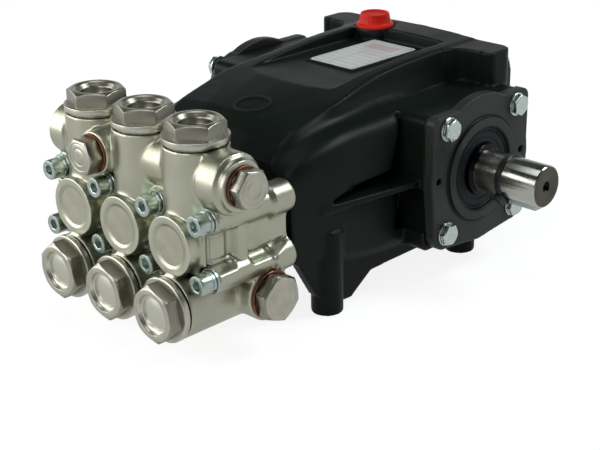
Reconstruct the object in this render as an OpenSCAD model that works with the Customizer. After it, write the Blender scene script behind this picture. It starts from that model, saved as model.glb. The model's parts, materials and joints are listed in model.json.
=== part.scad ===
// Three-plunger high-pressure pump with its crankcase.
// Frame: the origin is on the floor in the middle of the four feet, +X is the side
// the drive shaft comes out of, -Y is the pump head end and +Z is up. Millimetres.

/* [Pump head] */
// distance between neighbouring plungers
cyl_pitch = 46; // [42:1:52]
// height of the plunger and crankshaft axes above the floor
axis_z = 74; // [70:1:90]
// front face of the barrel ends
barrel_front_y = -180; // [-190:1:-170]
// diameter of a barrel end
barrel_d = 36.8; // [32:0.2:40]
// diameter of a valve tower or suction barrel
tower_d = 40.5; // [36:0.5:44]
// position of the tower axes from front to rear
tower_y = -155.6; // [-160:0.2:-150]
// top face of a delivery valve plug
tower_top_z = 146.5; // [140:0.5:156]
// height of the suction valve axes
suction_z = 35.2; // [32:0.2:42]
// front face of a suction valve plug
suction_front_y = -196; // [-200:1:-190]
// height of the delivery gallery
outlet_z = 114.5; // [110:0.5:122]
// position of the suction gallery from front to rear
inlet_y = -128; // [-136:1:-120]
// height of the screw rows above and below the plungers
screw_dz = 18.5; // [16:0.5:22]
// diameter of a screw boss
screw_boss_d = 16.5; // [14:0.5:20]
// rear face of the pump head
head_rear_y = -108; // [-112:1:-104]
// end face of the outlet boss on the shaft side
outlet_boss_x = 85; // [80:0.5:90]
// end face of the inlet bosses and of the far outlet boss
inlet_boss_x = 76; // [72:0.5:80]

/* [Valve plugs] */
// width across the flats
plug_af = 32.5; // [27:0.5:34]
// height of the hexagon
plug_hex_h = 9; // [7:0.5:12]
// diameter of the round collar
plug_collar_d = 41; // [38:0.5:44]
// height of the round collar
plug_collar_h = 4; // [3:0.5:6]

/* [Head screws] */
// diameter of a screw head
screw_head_d = 13; // [12:0.5:14]
// height of a screw head
screw_head_h = 8; // [6:0.5:10]
// diameter of the shank
screw_d = 8; // [6:1:10]

/* [Crankcase] */
// front face of the crankcase
case_front_y = -104; // [-110:1:-98]
// rear face of the crankcase casting
case_rear_y = 105; // [98:1:112]
// half width of the side walls
case_half_w = 75.5; // [70:0.5:80]
// half width of the rear flange with its wings
wing_half_w = 79; // [74:1:84]
// height of the deck
deck_z = 141.8; // [136:0.2:148]
// half width of the deck
deck_half_w = 48; // [42:1:52]
// height of the pocket floor that holds the label
pocket_z = 134; // [130:0.5:138]
// half width of the label pocket
pocket_half_w = 37; // [32:1:42]
// position of the crankshaft from front to rear
crank_y = 47; // [40:1:54]

/* [Feet] */
// distance between the left and right feet
foot_span_x = 132; // [120:1:140]
// distance between the front and rear feet
foot_span_y = 136; // [120:1:150]
// diameter of a foot
foot_d = 21; // [18:1:26]
// diameter of the tapped hole in a foot
foot_hole_d = 8; // [6:1:12]
// depth of the tapped hole in a foot
foot_hole_h = 22; // [15:1:30]

/* [Drive shaft] */
// diameter of the shaft end
shaft_d = 28; // [24:1:32]
// diameter of the shaft at the seal and bearings
journal_d = 35; // [32:1:40]
// running clearance around the journal, on the radius
journal_gap = 0.05; // [0.02:0.01:0.1]
// how far the shaft end stands out of the cover
shaft_reach = 52.3; // [44:0.1:60]
// width of the key
key_w = 8; // [6:1:10]
// diameter of the tapped hole in the shaft end
shaft_hole_d = 6.8; // [5:0.1:9]
// depth of the tapped hole in the shaft end
shaft_hole_h = 20; // [15:1:25]

/* [Bearing covers] */
// outer face of the bearing cover on the shaft side
cover_face_x = 98.4; // [96:0.2:102]
// outer face of the far bearing cover, as a distance from the middle
far_cover_face_x = 118; // [112:0.5:122]
// radius of a bearing cover between its ears
cover_r = 51; // [47:0.5:55]
// thickness of a bearing cover
cover_t = 8; // [6:0.5:12]
// half of the distance between neighbouring cover bolts
cover_bolt_half = 36; // [32:0.5:40]
// outer diameter of the oil seal
seal_d = 56; // [50:1:60]

/* [Rear cover] */
// thickness of the rear cover
rear_cover_t = 8; // [6:0.5:12]
// height of the rear cover
rear_cover_h = 104; // [90:1:112]

/* [Hidden] */
$fn = 48;
tower_xs = [-cyl_pitch, 0, cyl_pitch];
screw_xs = [-1.5 * cyl_pitch, -0.5 * cyl_pitch, 0.5 * cyl_pitch, 1.5 * cyl_pitch];
washer_t = 4;
seat_y = barrel_front_y + screw_head_h + washer_t;
tower_rim_z = tower_top_z - plug_hex_h - plug_collar_h - 1.5;
suction_rim_y = suction_front_y + plug_hex_h + plug_collar_h + 1.5;
front_boss_y = tower_y - 22.4;
front_boss_x = -cyl_pitch / 2;
shaft_end_x = cover_face_x + shaft_reach;
key_x0 = cover_face_x + 11.6;
key_l = shaft_reach - 16.3;
tie_x = cover_face_x + 21.6;
box_near_x = cover_face_x - cover_t;
box_far_x = far_cover_face_x - cover_t;
front_foot_y = -foot_span_y / 2;
rear_foot_y = foot_span_y / 2;
skirt_z = 25;
rail_z = 17;
rear_cover_z = axis_z + 9;
flange_y = case_rear_y - 26;
cap_x = -28;
cap_y = 82;
cap_z = 141;
plate_y0 = 6;
plate_w = 39.4;
plate_l = 66;
pad_t = 1.2;
skin = 0.01;

// Helpers: bars along each axis, from one end to the other.
module bar_x(x0, x1, d, y, z) {
    translate([x0, y, z]) rotate([0, 90, 0]) cylinder(h = x1 - x0, d = d);
}

module bar_y(y0, y1, d, x, z) {
    translate([x, y0, z]) rotate([-90, 0, 0]) cylinder(h = y1 - y0, d = d);
}

module bar_z(z0, z1, d, x, y) {
    translate([x, y, z0]) cylinder(h = z1 - z0, d = d);
}

module hexagon_bar(h, af) {
    cylinder(h = h, d = af / cos(30), $fn = 6);
}

// A flat outline with round corners, made of true arcs.
module round_rect(w, h, r) {
    square([w - 2 * r, h], center = true);
    square([w, h - 2 * r], center = true);
    for (sx = [-1, 1]) {
        for (sy = [-1, 1]) {
            translate([sx * (w / 2 - r), sy * (h / 2 - r)]) circle(r = r);
        }
    }
}

// A plate that faces +X, with its centre on the given y and z.
module plate_x(x0, x1, w_y, h_z, r, y, z) {
    translate([x0, y, z]) rotate([90, 0, 90]) linear_extrude(x1 - x0) round_rect(w_y, h_z, r);
}

// A plate that faces +Y, with its centre on the given x and z.
module plate_y(y0, y1, w_x, h_z, r, x, z) {
    translate([x, y1, z]) rotate([90, 0, 0]) linear_extrude(y1 - y0) round_rect(w_x, h_z, r);
}

// Valve plug: hexagon, round collar and threaded spigot. Its top face is at z = 0.
module valve_plug(recess_h) {
    difference() {
        union() {
            translate([0, 0, -plug_hex_h]) intersection() {
                hexagon_bar(plug_hex_h, plug_af);
                cylinder(h = plug_hex_h, r1 = plug_af * 0.70, r2 = plug_af * 0.555);
            }
            translate([0, 0, -plug_hex_h - plug_collar_h]) cylinder(h = plug_collar_h + skin, d = plug_collar_d);
            translate([0, 0, -plug_hex_h - plug_collar_h - 1.5]) cylinder(h = 1.5 + skin, d = plug_collar_d - 4);
            translate([0, 0, -34]) cylinder(h = 20, d = 30);
        }
        translate([0, 0, -recess_h]) cylinder(h = recess_h + 1, r1 = 10, r2 = 12.6);
    }
}

module delivery_valve_plug(i) {
    color("silver") translate([tower_xs[i], tower_y, tower_top_z]) rotate([0, 0, 42]) valve_plug(8);
}

module suction_valve_plug(i) {
    color("silver") translate([tower_xs[i], suction_front_y, suction_z]) rotate([90, 0, 0])
        rotate([0, 0, 41]) valve_plug(3);
}

// Socket screw with its spring washer and flat washer, the face level with the barrel ends.
module head_screw(i) {
    x = screw_xs[i % 4];
    z = axis_z + (i < 4 ? screw_dz : -screw_dz);
    color("lightsteelblue") translate([x, 0, z]) difference() {
        union() {
            bar_y(barrel_front_y, barrel_front_y + screw_head_h, screw_head_d, 0, 0);
            bar_y(barrel_front_y + screw_head_h - skin, seat_y - 1.8, screw_head_d + 0.6, 0, 0);
            bar_y(seat_y - 1.8 - skin, seat_y, screw_head_d + 3, 0, 0);
            bar_y(seat_y - skin, seat_y + 20, screw_d, 0, 0);
        }
        translate([0, barrel_front_y - 1, 0]) rotate([-90, 0, 0]) rotate([0, 0, 12]) hexagon_bar(5.5, 6);
    }
}

// Pump head casting: barrels, towers, suction barrels, galleries and screw bosses.
module pump_head() {
    block_half_w = cyl_pitch + 17;
    color("gainsboro") difference() {
        union() {
            plate_y(barrel_front_y + 18, head_rear_y, 2 * block_half_w, 2 * screw_dz - 3, 5, 0, axis_z);
            for (x = tower_xs) {
                bar_y(barrel_front_y, case_front_y, barrel_d, x, axis_z);
                bar_z(axis_z, tower_rim_z, tower_d, x, tower_y);
                bar_y(suction_rim_y, inlet_y + 14, tower_d, x, suction_z);
            }
            translate([-cyl_pitch, tower_y - 9, axis_z]) cube([2 * cyl_pitch, 23, outlet_z - axis_z]);
            gallery();
            translate([-block_half_w + 5, tower_y - 9, suction_z])
                cube([2 * block_half_w - 10, 50, axis_z - suction_z]);
            bar_y(front_boss_y, tower_y, 27, front_boss_x, outlet_z);
            for (x = screw_xs) {
                for (s = [-1, 1]) {
                    bar_y(seat_y, head_rear_y, screw_boss_d, x, axis_z + s * screw_dz);
                    bar_y(head_rear_y - 16, head_rear_y, screw_boss_d + 1.5, x, axis_z + s * screw_dz);
                }
            }
            head_side(1);
            head_side(-1);
        }
        for (x = tower_xs) {
            translate([x, barrel_front_y - skin, axis_z]) rotate([-90, 0, 0]) cylinder(h = 1.6, d1 = 28, d2 = 23);
            bar_z(tower_top_z - 36, tower_rim_z + 1, 30, x, tower_y);
            bar_y(suction_rim_y - 1, suction_front_y + 36, 30, x, suction_z);
        }
        for (x = screw_xs) {
            for (s = [-1, 1]) {
                bar_y(barrel_front_y, seat_y, screw_head_d + 3.6, x, axis_z + s * screw_dz);
                bar_y(seat_y - 1, head_rear_y + 1, screw_d, x, axis_z + s * screw_dz);
            }
        }
        bar_x(-inlet_boss_x - 1, -inlet_boss_x + 14, 15, tower_y, outlet_z);
        bar_x(-inlet_boss_x - 1, -inlet_boss_x + 19, 19, inlet_y, suction_z);
        bar_x(outlet_boss_x - 14, outlet_boss_x + 1, 13, tower_y, outlet_z);
        bar_x(inlet_boss_x - 16, inlet_boss_x + 1, 18, inlet_y, suction_z);
        bar_y(front_boss_y - 1, front_boss_y + 12, 12, front_boss_x, outlet_z);
    }
}

// Delivery and suction galleries across the head with their end bosses.
module gallery() {
    bar_x(-cyl_pitch, outlet_boss_x, 31, tower_y, outlet_z);
    bar_x(outlet_boss_x - 21, outlet_boss_x - 5, 37, tower_y, outlet_z);
    bar_x(-inlet_boss_x, -inlet_boss_x + 14, 34, tower_y, outlet_z);
    bar_x(-inlet_boss_x, inlet_boss_x, 34, inlet_y, suction_z);
}

// Ribs and the raised panel on one side of the head.
module head_side(s) {
    low_z = axis_z - screw_dz;
    x0 = cyl_pitch + 8;
    rib_w = 1.5 * cyl_pitch + 4 - x0;
    translate([s * (x0 + rib_w / 2) - rib_w / 2, seat_y - 3, low_z]) cube([rib_w - 5, 5, 2 * screw_dz]);
    translate([s * (x0 + rib_w / 2) - rib_w / 2, head_rear_y - 41, low_z]) cube([rib_w, 7, 2 * screw_dz]);
    translate([s * (x0 + rib_w / 2 - 0.8) - rib_w / 2, head_rear_y - 36, low_z + 1])
        cube([rib_w, 35, 2 * screw_dz - 2]);
    translate([s * (x0 + rib_w / 2) - rib_w / 2, head_rear_y - 41, low_z - 1]) cube([rib_w + 1, 26, 6]);
    translate([s * (x0 + rib_w / 2 - 2.2) - rib_w / 2, seat_y + 1, low_z + 2])
        cube([rib_w, head_rear_y - 39 - seat_y - 1, 2 * screw_dz - 4]);
}

// Hexagon plug on a flat washer; its outer face is at z = 0 and it points up.
module port_plug(af, hex_h, washer_h, thread_d, thread_h) {
    translate([0, 0, -hex_h]) intersection() {
        hexagon_bar(hex_h, af);
        cylinder(h = hex_h, r1 = af * 0.64, r2 = af * 0.5);
    }
    translate([0, 0, -hex_h - washer_h - thread_h]) cylinder(h = washer_h + thread_h + skin, d = thread_d);
}

module flat_washer(d, hole_d, h) {
    difference() {
        cylinder(h = h, d = d);
        translate([0, 0, -1]) cylinder(h = h + 2, d = hole_d);
    }
}

module outlet_plug() {
    color("silver") translate([outlet_boss_x + 9.5, tower_y, outlet_z]) rotate([0, 90, 0]) rotate([0, 0, 20])
        port_plug(22, 8, 1.5, 13, 12);
}

module outlet_washer() {
    color("sienna") translate([outlet_boss_x, tower_y, outlet_z]) rotate([0, 90, 0]) flat_washer(26, 13, 1.5);
}

module inlet_plug() {
    color("silver") translate([inlet_boss_x + 11, inlet_y, suction_z]) rotate([0, 90, 0]) rotate([0, 0, 10])
        port_plug(27, 9, 2, 18, 14);
}

module inlet_washer() {
    color("sienna") translate([inlet_boss_x, inlet_y, suction_z]) rotate([0, 90, 0]) flat_washer(32, 18, 2);
}

module front_plug() {
    color("silver") translate([front_boss_x, front_boss_y - 11, outlet_z]) rotate([90, 0, 0]) rotate([0, 0, 30])
        port_plug(21, 9.5, 1.5, 12, 10);
}

module front_washer() {
    color("sienna") translate([front_boss_x, front_boss_y, outlet_z]) rotate([90, 0, 0]) flat_washer(27, 12, 1.5);
}

// Crankcase surface, as functions of the position y from front to rear.
function ease(t) = let (c = max(0, min(1, t))) c * c * (3 - 2 * c);
function crest_z(y) = deck_z - 0.00084 * pow(max(0, 67.5 - y), 2) - 10 * pow(max(0, -80 - y) / 24, 2);
function base_z(y) = skirt_z + 21 * pow(max(0, -y) / 104, 1.9);

// Half of the outline at y, from the middle of the deck over the crest lip, the hollow
// below it and the shoulder, down the fender and the wall to the middle of the base.
function case_half(y) = let (
        nose = ease((-38 - y) / 52),
        front = ease((-60 - y) / 44),
        tail = ease((y + 4) / 60),
        zt = crest_z(y),
        zc = zt - 1.5 * nose,
        xr = deck_half_w - 4 - 19 * nose,
        xc = deck_half_w + 7 * ease((8 - y) / 64),
        zs = min(axis_z + 45.5 - 0.0045 * pow(max(0, -45 - y), 2), zc - 4.5) - 4 * tail,
        w = case_half_w - 4.5 * front,
        roll_w = 13.5 - 5.5 * front + 9 * tail,
        roll_h = 19 - 11 * front,
        xs = w - roll_w,
        zb = base_z(y),
        zf = min(axis_z + 10.5 + 22 * ease((-50 - y) / 44), zs - roll_h - 2.5),
        wl = w - 2 * (1 - front)
    ) concat(
        [[0, zt + 1.9], [xr / 2, zt + 1.6], [xr, zt + 0.4 + 0.8 * nose]],
        [for (k = [0:3]) let (a = 30 * k) [xc - 2 + 2 * sin(a), zc - 2 + 2 * cos(a)]],
        [[xc, zc - 3.2]],
        [for (k = [1:4]) let (a = 22.5 * k) [xs - (xs - xc) * cos(a), zc - 3.2 - (zc - 3.2 - zs) * sin(a)]],
        [for (k = [1:4]) let (a = 22.5 * k) [xs + roll_w * sin(a), zs - roll_h + roll_h * cos(a)]],
        [[w + 0.3, (zs - roll_h + zf) / 2], [w - 0.1, zf], [wl, zf - 3], [wl + 0.8, (zf + zb + 5) / 2]],
        [for (k = [0:3]) let (a = 30 * k) [wl - 8 + 8 * cos(a), zb + 8 - 8 * sin(a)]],
        [[w / 2, zb - 1]]
    );
function mirror_half(h) = [for (k = [len(h) - 1:-1:0]) if (h[k][0] > 0.001) [-h[k][0], h[k][1]]];
function case_ring(y) = let (h = case_half(y)) concat(h, mirror_half(h));

// A solid through a row of rings with the same number of points.
module ring_solid(ys) {
    rings = [for (y = ys) case_ring(y)];
    n = len(rings[0]);
    m = len(ys);
    points = [for (j = [0:m - 1]) for (p = rings[j]) [p[0], ys[j], p[1]]];
    sides = [for (j = [0:m - 2]) for (k = [0:n - 1]) let (
            a = j * n + k,
            b = j * n + (k + 1) % n
        ) each [[b + n, b, a], [a + n, b + n, a]]];
    r = (m - 1) * n;
    half = (n - 1) / 2;
    front = concat([[n - 1, 0, 1]], [for (k = [1:half - 1]) [n - k - 1, n - k, k, k + 1]]);
    rear = concat([[r + n - 1, r + 1, r]], [for (k = [1:half - 1]) [r + n - k, r + n - k - 1, r + k + 1, r + k]]);
    polyhedron(points = points, faces = concat(sides, front, rear), convexity = 4);
}

module case_body() {
    step_count = 20;
    ring_solid([for (k = [0:step_count]) case_front_y + (case_rear_y - 1 - case_front_y) * k / step_count]);
}

// Upright plate along the side, from a polygon in y and z.
module side_web(x0, x1, outline) {
    translate([x0, 0, 0]) rotate([90, 0, 90]) linear_extrude(x1 - x0) polygon(outline);
}

// Foot column, with the web to the front flange and the rail to the rear foot.
module foot_pair(s) {
    x = s * foot_span_x / 2;
    bar_z(0, 57, foot_d, x, front_foot_y);
    bar_z(0, 45, foot_d, x, rear_foot_y);
    side_web(x - 4, x + 4, [
        [case_front_y, axis_z - 14], [case_front_y, axis_z - 28], [case_front_y + 8, axis_z - 34],
        [front_foot_y - 13, 15], [front_foot_y, 10], [front_foot_y, axis_z - 14]
    ]);
    side_web(x - 3.5, x + 3.5, [
        [front_foot_y, 55], [front_foot_y, 4], [front_foot_y + 20, 3], [front_foot_y + 24, 6],
        [front_foot_y + 39, rail_z - 1], [rear_foot_y - 22, rail_z], [rear_foot_y, 8], [rear_foot_y, 40]
    ]);
}

// Rear flange with its wings; hollow corners run the wings into the deck.
module rear_flange() {
    wing_z = deck_z - 0.4;
    mid_w = deck_half_w + 13.5;
    difference() {
        union() {
            translate([-wing_half_w + 10, flange_y, skirt_z - 1.3])
                cube([2 * wing_half_w - 20, case_rear_y - flange_y, wing_z - skirt_z + 1.3]);
            translate([-wing_half_w, flange_y + 5, skirt_z - 1.3])
                cube([2 * wing_half_w, case_rear_y - flange_y - 15, wing_z - skirt_z + 1.3]);
            for (s = [-1, 1]) {
                bar_z(skirt_z - 1.3, wing_z, 10, s * (wing_half_w - 5), flange_y + 5);
                bar_z(skirt_z - 1.3, wing_z, 20, s * (wing_half_w - 10), case_rear_y - 10);
                translate([s * (mid_w - 9) - 7, flange_y - 12.5, axis_z + 20])
                    cube([16, 14, wing_z - axis_z - 20]);
            }
        }
        for (s = [-1, 1]) {
            bar_z(axis_z, deck_z + 5, 25, s * mid_w, flange_y - 12.5);
        }
    }
}

// Hollow behind and under the fender, above the long rib, with a deeper part inside it.
module side_hollow(s) {
    mirror([s < 0 ? 1 : 0, 0, 0]) {
        side_web(case_half_w - 9, case_half_w + 13, [
            [front_foot_y - 10, axis_z + 1], [front_foot_y + 18, axis_z + 7.5], [-15, axis_z + 10.5],
            [-4.5, axis_z + 45.6], [12, axis_z + 45.6], [12, axis_z + 1]
        ]);
        side_web(case_half_w - 16, case_half_w - 8, [
            [front_foot_y + 16, axis_z + 2.2], [-14, axis_z + 8.5], [-5, axis_z + 38],
            [10, axis_z + 38], [10, axis_z + 2.2]
        ]);
    }
}

// Recess between the wall and the bearing cover, below the long rib.
module side_recess(s) {
    outer_x = s > 0 ? box_near_x : box_far_x;
    mirror([s < 0 ? 1 : 0, 0, 0]) side_web(case_half_w - 14.5, outer_x + 1, [
        [-12.5, axis_z - 4.6], [-10.5, axis_z - 33], [0, axis_z - 35], [6, axis_z - 27], [9, axis_z - 4.6]
    ]);
}

module side_rib(s) {
    translate([0, 0, axis_z - 2.6]) mirror([s < 0 ? 1 : 0, 0, 0]) linear_extrude(4.2) polygon([
        [62, front_foot_y - 13], [case_half_w - 1.6, front_foot_y - 12],
        [case_half_w + 11, -6], [case_half_w + 11, 6], [62, 6]
    ]);
}

// Crankcase casting with bearing boxes, feet, ribs and the label pocket.
module crankcase() {
    color([0.12, 0.13, 0.13]) difference() {
        union() {
            difference() {
                case_body();
                translate([-pocket_half_w, -60, pocket_z]) cube([2 * pocket_half_w, flange_y + 59.8, 20]);
                side_hollow(1);
                side_hollow(-1);
            }
            plate_x(-box_far_x, box_near_x, 2 * cover_r - 3.2, 2 * cover_r - 9.2, 6, crank_y, axis_z - 2);
            rear_flange();
            for (s = [-1, 1]) {
                foot_pair(s);
                side_rib(s);
            }
            translate([-plate_w / 2 - 2, plate_y0 - 2, pocket_z - 2]) cube([plate_w + 4, plate_l + 4, 2 + pad_t]);
            bar_z(pocket_z - 4, cap_z, 25, cap_x, cap_y);
        }
        bar_x(-200, 200, 46, crank_y, axis_z);
        bar_z(cap_z - 14, cap_z + 1, 16, cap_x, cap_y);
        bar_z(cap_z, cap_z + 20, 30, cap_x, cap_y);
        for (s = [-1, 1]) {
            for (y = [front_foot_y, rear_foot_y]) {
                bar_z(-1, foot_hole_h, foot_hole_d, s * foot_span_x / 2, y);
            }
        }
        side_recess(1);
        side_recess(-1);
        bolt_holes(1);
        bolt_holes(-1);
        for (i = [0:3]) {
            p = rear_bolt_at(i);
            bar_y(case_rear_y - 14, case_rear_y + 1, 8, p[0], p[1]);
        }
    }
}

function face_x(side) = side > 0 ? cover_face_x : -far_cover_face_x;

module bolt_holes(side) {
    x = face_x(side);
    for (i = [0:3]) {
        p = cover_bolt_at(i);
        bar_x(x - (side > 0 ? 24 : 1), x + (side > 0 ? 1 : 24), 8, p[0], p[1]);
    }
}

function cover_bolt_at(i) = [crank_y + (i % 2 == 0 ? -1 : 1) * cover_bolt_half,
    axis_z + (i < 2 ? 1 : -1) * cover_bolt_half];
function rear_bolt_at(i) = [(i % 2 == 0 ? -1 : 1) * (case_half_w - 15.5),
    rear_cover_z + (i < 2 ? 1 : -1) * (rear_cover_h / 2 - 11)];

// Outline of a bearing cover in y and z: a disc with square upper corners and round lower ears.
module cover_plate(x0) {
    ear_r = 11.5;
    reach = sqrt(2) * cover_bolt_half;
    a = acos((cover_r - ear_r) / reach);
    web = [(cover_r - 0.3) * cos(a), (cover_r - 0.3) * sin(a)];
    tip = [reach + (ear_r - 0.3) * cos(a), (ear_r - 0.3) * sin(a)];
    translate([x0, crank_y, axis_z]) rotate([90, 0, 90]) linear_extrude(cover_t) {
        circle(r = cover_r);
        translate([0, cover_r / 2 - 3.5]) round_rect(2 * cover_r - 2, cover_r - 4.6, 6);
        for (k = [225, 315]) {
            rotate(k) {
                translate([reach, 0]) circle(r = ear_r);
                polygon([[0, 0], web, tip, [tip[0], -tip[1]], [web[0], -web[1]]]);
            }
        }
    }
}

// Bearing cover on the shaft side, with a raised ring around the seal.
module bearing_cover_right() {
    color([0.13, 0.13, 0.13]) difference() {
        union() {
            cover_plate(box_near_x);
            bar_x(box_near_x, cover_face_x + 2, 70, crank_y, axis_z);
        }
        bar_x(box_near_x + 1, cover_face_x + 3, seal_d, crank_y, axis_z);
        bar_x(box_near_x - 1, cover_face_x + 3, 46, crank_y, axis_z);
        bolt_holes(1);
        for (s = [-1, 1]) {
            bar_x(box_near_x + 1, cover_face_x + 1, 5, crank_y + s * (cover_r - 7.4), axis_z + 2);
        }
    }
}

// Blind bearing cover on the far side.
module bearing_cover_left() {
    color([0.13, 0.13, 0.13]) difference() {
        union() {
            cover_plate(-far_cover_face_x);
            bar_x(-far_cover_face_x - 2, -box_far_x, 70, crank_y, axis_z);
        }
        bar_x(-far_cover_face_x + 3, -box_far_x + 1, journal_d + 2 * journal_gap, crank_y, axis_z);
        bolt_holes(-1);
    }
}

// Hexagon bolt with its head pointing up and the seat at z = 0.
module hex_bolt(af, head_h, shank_d, shank_h) {
    intersection() {
        hexagon_bar(head_h, af);
        cylinder(h = head_h, r1 = af * 0.64, r2 = af * 0.54);
    }
    translate([0, 0, -shank_h]) cylinder(h = shank_h + skin, d = shank_d);
}

module cover_bolt(side, i) {
    p = cover_bolt_at(i);
    color("lightsteelblue") translate([face_x(side), p[0], p[1]]) rotate([0, side * 90, 0])
        rotate([0, 0, 17 * (i + 1)]) hex_bolt(13, 5.3, 8, 20);
}

module oil_seal() {
    color([0.10, 0.12, 0.16]) difference() {
        bar_x(box_near_x + 1, cover_face_x + 0.5, seal_d, crank_y, axis_z);
        bar_x(box_near_x, cover_face_x + 2, journal_d + 2 * journal_gap, crank_y, axis_z);
        difference() {
            bar_x(cover_face_x - 1, cover_face_x + 2, seal_d - 6, crank_y, axis_z);
            bar_x(cover_face_x - 2, cover_face_x + 3, journal_d + 4, crank_y, axis_z);
        }
    }
}

// Crankshaft: bearing journals and the drive end.
module crankshaft() {
    color([0.7, 0.7, 0.7]) difference() {
        union() {
            bar_x(-far_cover_face_x + 3, cover_face_x + 4, journal_d, crank_y, axis_z);
            bar_x(cover_face_x, shaft_end_x, shaft_d, crank_y, axis_z);
        }
        bar_x(shaft_end_x - shaft_hole_h, shaft_end_x + 1, shaft_hole_d, crank_y, axis_z);
        translate([key_x0, crank_y - key_w / 2, axis_z - shaft_d / 2 - 1]) cube([key_l, key_w, 5]);
    }
}

module shaft_key() {
    color([0.75, 0.78, 0.75]) translate([key_x0, crank_y - key_w / 2, axis_z - shaft_d / 2 - 3])
        cube([key_l, key_w, 7]);
}

// Cable tie around the shaft and its key.
module cable_tie() {
    color([0.05, 0.05, 0.05]) translate([tie_x, crank_y, axis_z]) rotate([0, 90, 0]) difference() {
        union() {
            cylinder(h = 4, r = shaft_d / 2 + 1.3);
            translate([shaft_d / 2 - 1, -key_w / 2 - 1.3, 0]) cube([5.5, key_w + 2.6, 4]);
            rotate([0, 0, -38]) translate([shaft_d / 2, -4, -1]) cube([5, 8, 6]);
        }
        translate([0, 0, -2]) cylinder(h = 8, d = shaft_d);
        translate([shaft_d / 2 - 5, -key_w / 2, -2]) cube([8, key_w, 8]);
    }
}

module rear_cover() {
    face_y = case_rear_y + rear_cover_t;
    color([0.12, 0.13, 0.13]) difference() {
        plate_y(case_rear_y, face_y, 2 * case_half_w - 8, rear_cover_h, 14, 0, rear_cover_z);
        for (i = [0:3]) {
            p = rear_bolt_at(i);
            bar_y(case_rear_y - 1, face_y + 1, 8, p[0], p[1]);
        }
        bar_y(case_rear_y + 2, face_y + 1, 24, 0, rear_cover_z - 13);
        bar_y(case_rear_y + 1, face_y + 1, 14, 0, rear_cover_z - 39);
    }
}

module rear_cover_bolt(i) {
    p = rear_bolt_at(i);
    color("lightsteelblue") translate([p[0], case_rear_y + rear_cover_t, p[1]]) rotate([-90, 0, 0])
        rotate([0, 0, 23 * i]) hex_bolt(13, 5.3, 8, rear_cover_t + 12);
}

module oil_level_glass() {
    color([0.8, 0.75, 0.5]) translate([0, case_rear_y + 2, rear_cover_z - 13]) rotate([-90, 0, 0]) union() {
        cylinder(h = rear_cover_t - 1, d = 24);
        translate([0, 0, rear_cover_t - 2]) cylinder(h = 3, d = 28);
    }
}

module oil_drain_plug() {
    color("silver") translate([0, case_rear_y + rear_cover_t, rear_cover_z - 39]) rotate([-90, 0, 0])
        hex_bolt(17, 6, 14, rear_cover_t - 1);
}

module oil_filler_cap() {
    color("red") translate([cap_x, cap_y, cap_z]) union() {
        cylinder(h = 3, d = 27);
        translate([0, 0, 3 - skin]) cylinder(h = 9, r1 = 11, r2 = 9.8);
        translate([0, 0, -12]) cylinder(h = 12 + skin, d = 16);
    }
}

module name_plate() {
    color("white") translate([-plate_w / 2, plate_y0, pocket_z + pad_t]) cube([plate_w, plate_l, 0.6]);
}

crankcase();
rear_cover();
rear_cover_bolt(0);  // rear_cover_bolt_1
rear_cover_bolt(1);  // rear_cover_bolt_2
rear_cover_bolt(2);  // rear_cover_bolt_3
rear_cover_bolt(3);  // rear_cover_bolt_4
oil_level_glass();
oil_drain_plug();
oil_filler_cap();
name_plate();
bearing_cover_right();
bearing_cover_left();
cover_bolt(1, 0);  // cover_bolt_right_1
cover_bolt(1, 1);  // cover_bolt_right_2
cover_bolt(1, 2);  // cover_bolt_right_3
cover_bolt(1, 3);  // cover_bolt_right_4
cover_bolt(-1, 0);  // cover_bolt_left_1
cover_bolt(-1, 1);  // cover_bolt_left_2
cover_bolt(-1, 2);  // cover_bolt_left_3
cover_bolt(-1, 3);  // cover_bolt_left_4
oil_seal();
crankshaft();
shaft_key();
cable_tie();
pump_head();
delivery_valve_plug(0);  // delivery_valve_plug_1
delivery_valve_plug(1);  // delivery_valve_plug_2
delivery_valve_plug(2);  // delivery_valve_plug_3
suction_valve_plug(0);  // suction_valve_plug_1
suction_valve_plug(1);  // suction_valve_plug_2
suction_valve_plug(2);  // suction_valve_plug_3
head_screw(0);  // head_screw_1
head_screw(1);  // head_screw_2
head_screw(2);  // head_screw_3
head_screw(3);  // head_screw_4
head_screw(4);  // head_screw_5
head_screw(5);  // head_screw_6
head_screw(6);  // head_screw_7
head_screw(7);  // head_screw_8
outlet_plug();
outlet_washer();
inlet_plug();
inlet_washer();
front_plug();
front_washer();
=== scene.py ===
"""A three-plunger high-pressure pump on a white floor: materials, finer pieces, lights and camera."""

import json
import math

import bpy
import numpy as np
from mathutils import Matrix, Vector


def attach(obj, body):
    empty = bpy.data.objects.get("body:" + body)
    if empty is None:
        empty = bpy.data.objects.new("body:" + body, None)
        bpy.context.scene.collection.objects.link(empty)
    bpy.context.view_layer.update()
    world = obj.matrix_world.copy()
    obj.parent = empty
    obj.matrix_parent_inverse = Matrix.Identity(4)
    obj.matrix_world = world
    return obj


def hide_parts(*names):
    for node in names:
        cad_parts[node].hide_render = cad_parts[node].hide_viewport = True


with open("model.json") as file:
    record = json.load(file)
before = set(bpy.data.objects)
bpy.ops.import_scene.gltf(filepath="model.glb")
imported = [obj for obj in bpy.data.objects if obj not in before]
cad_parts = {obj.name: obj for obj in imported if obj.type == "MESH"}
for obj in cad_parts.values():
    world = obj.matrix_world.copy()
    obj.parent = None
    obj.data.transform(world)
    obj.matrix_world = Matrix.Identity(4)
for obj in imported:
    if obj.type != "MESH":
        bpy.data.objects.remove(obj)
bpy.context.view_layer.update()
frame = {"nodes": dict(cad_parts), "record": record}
NODES = frame["nodes"]
MM = 0.001
DEG = math.pi / 180.0

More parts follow.
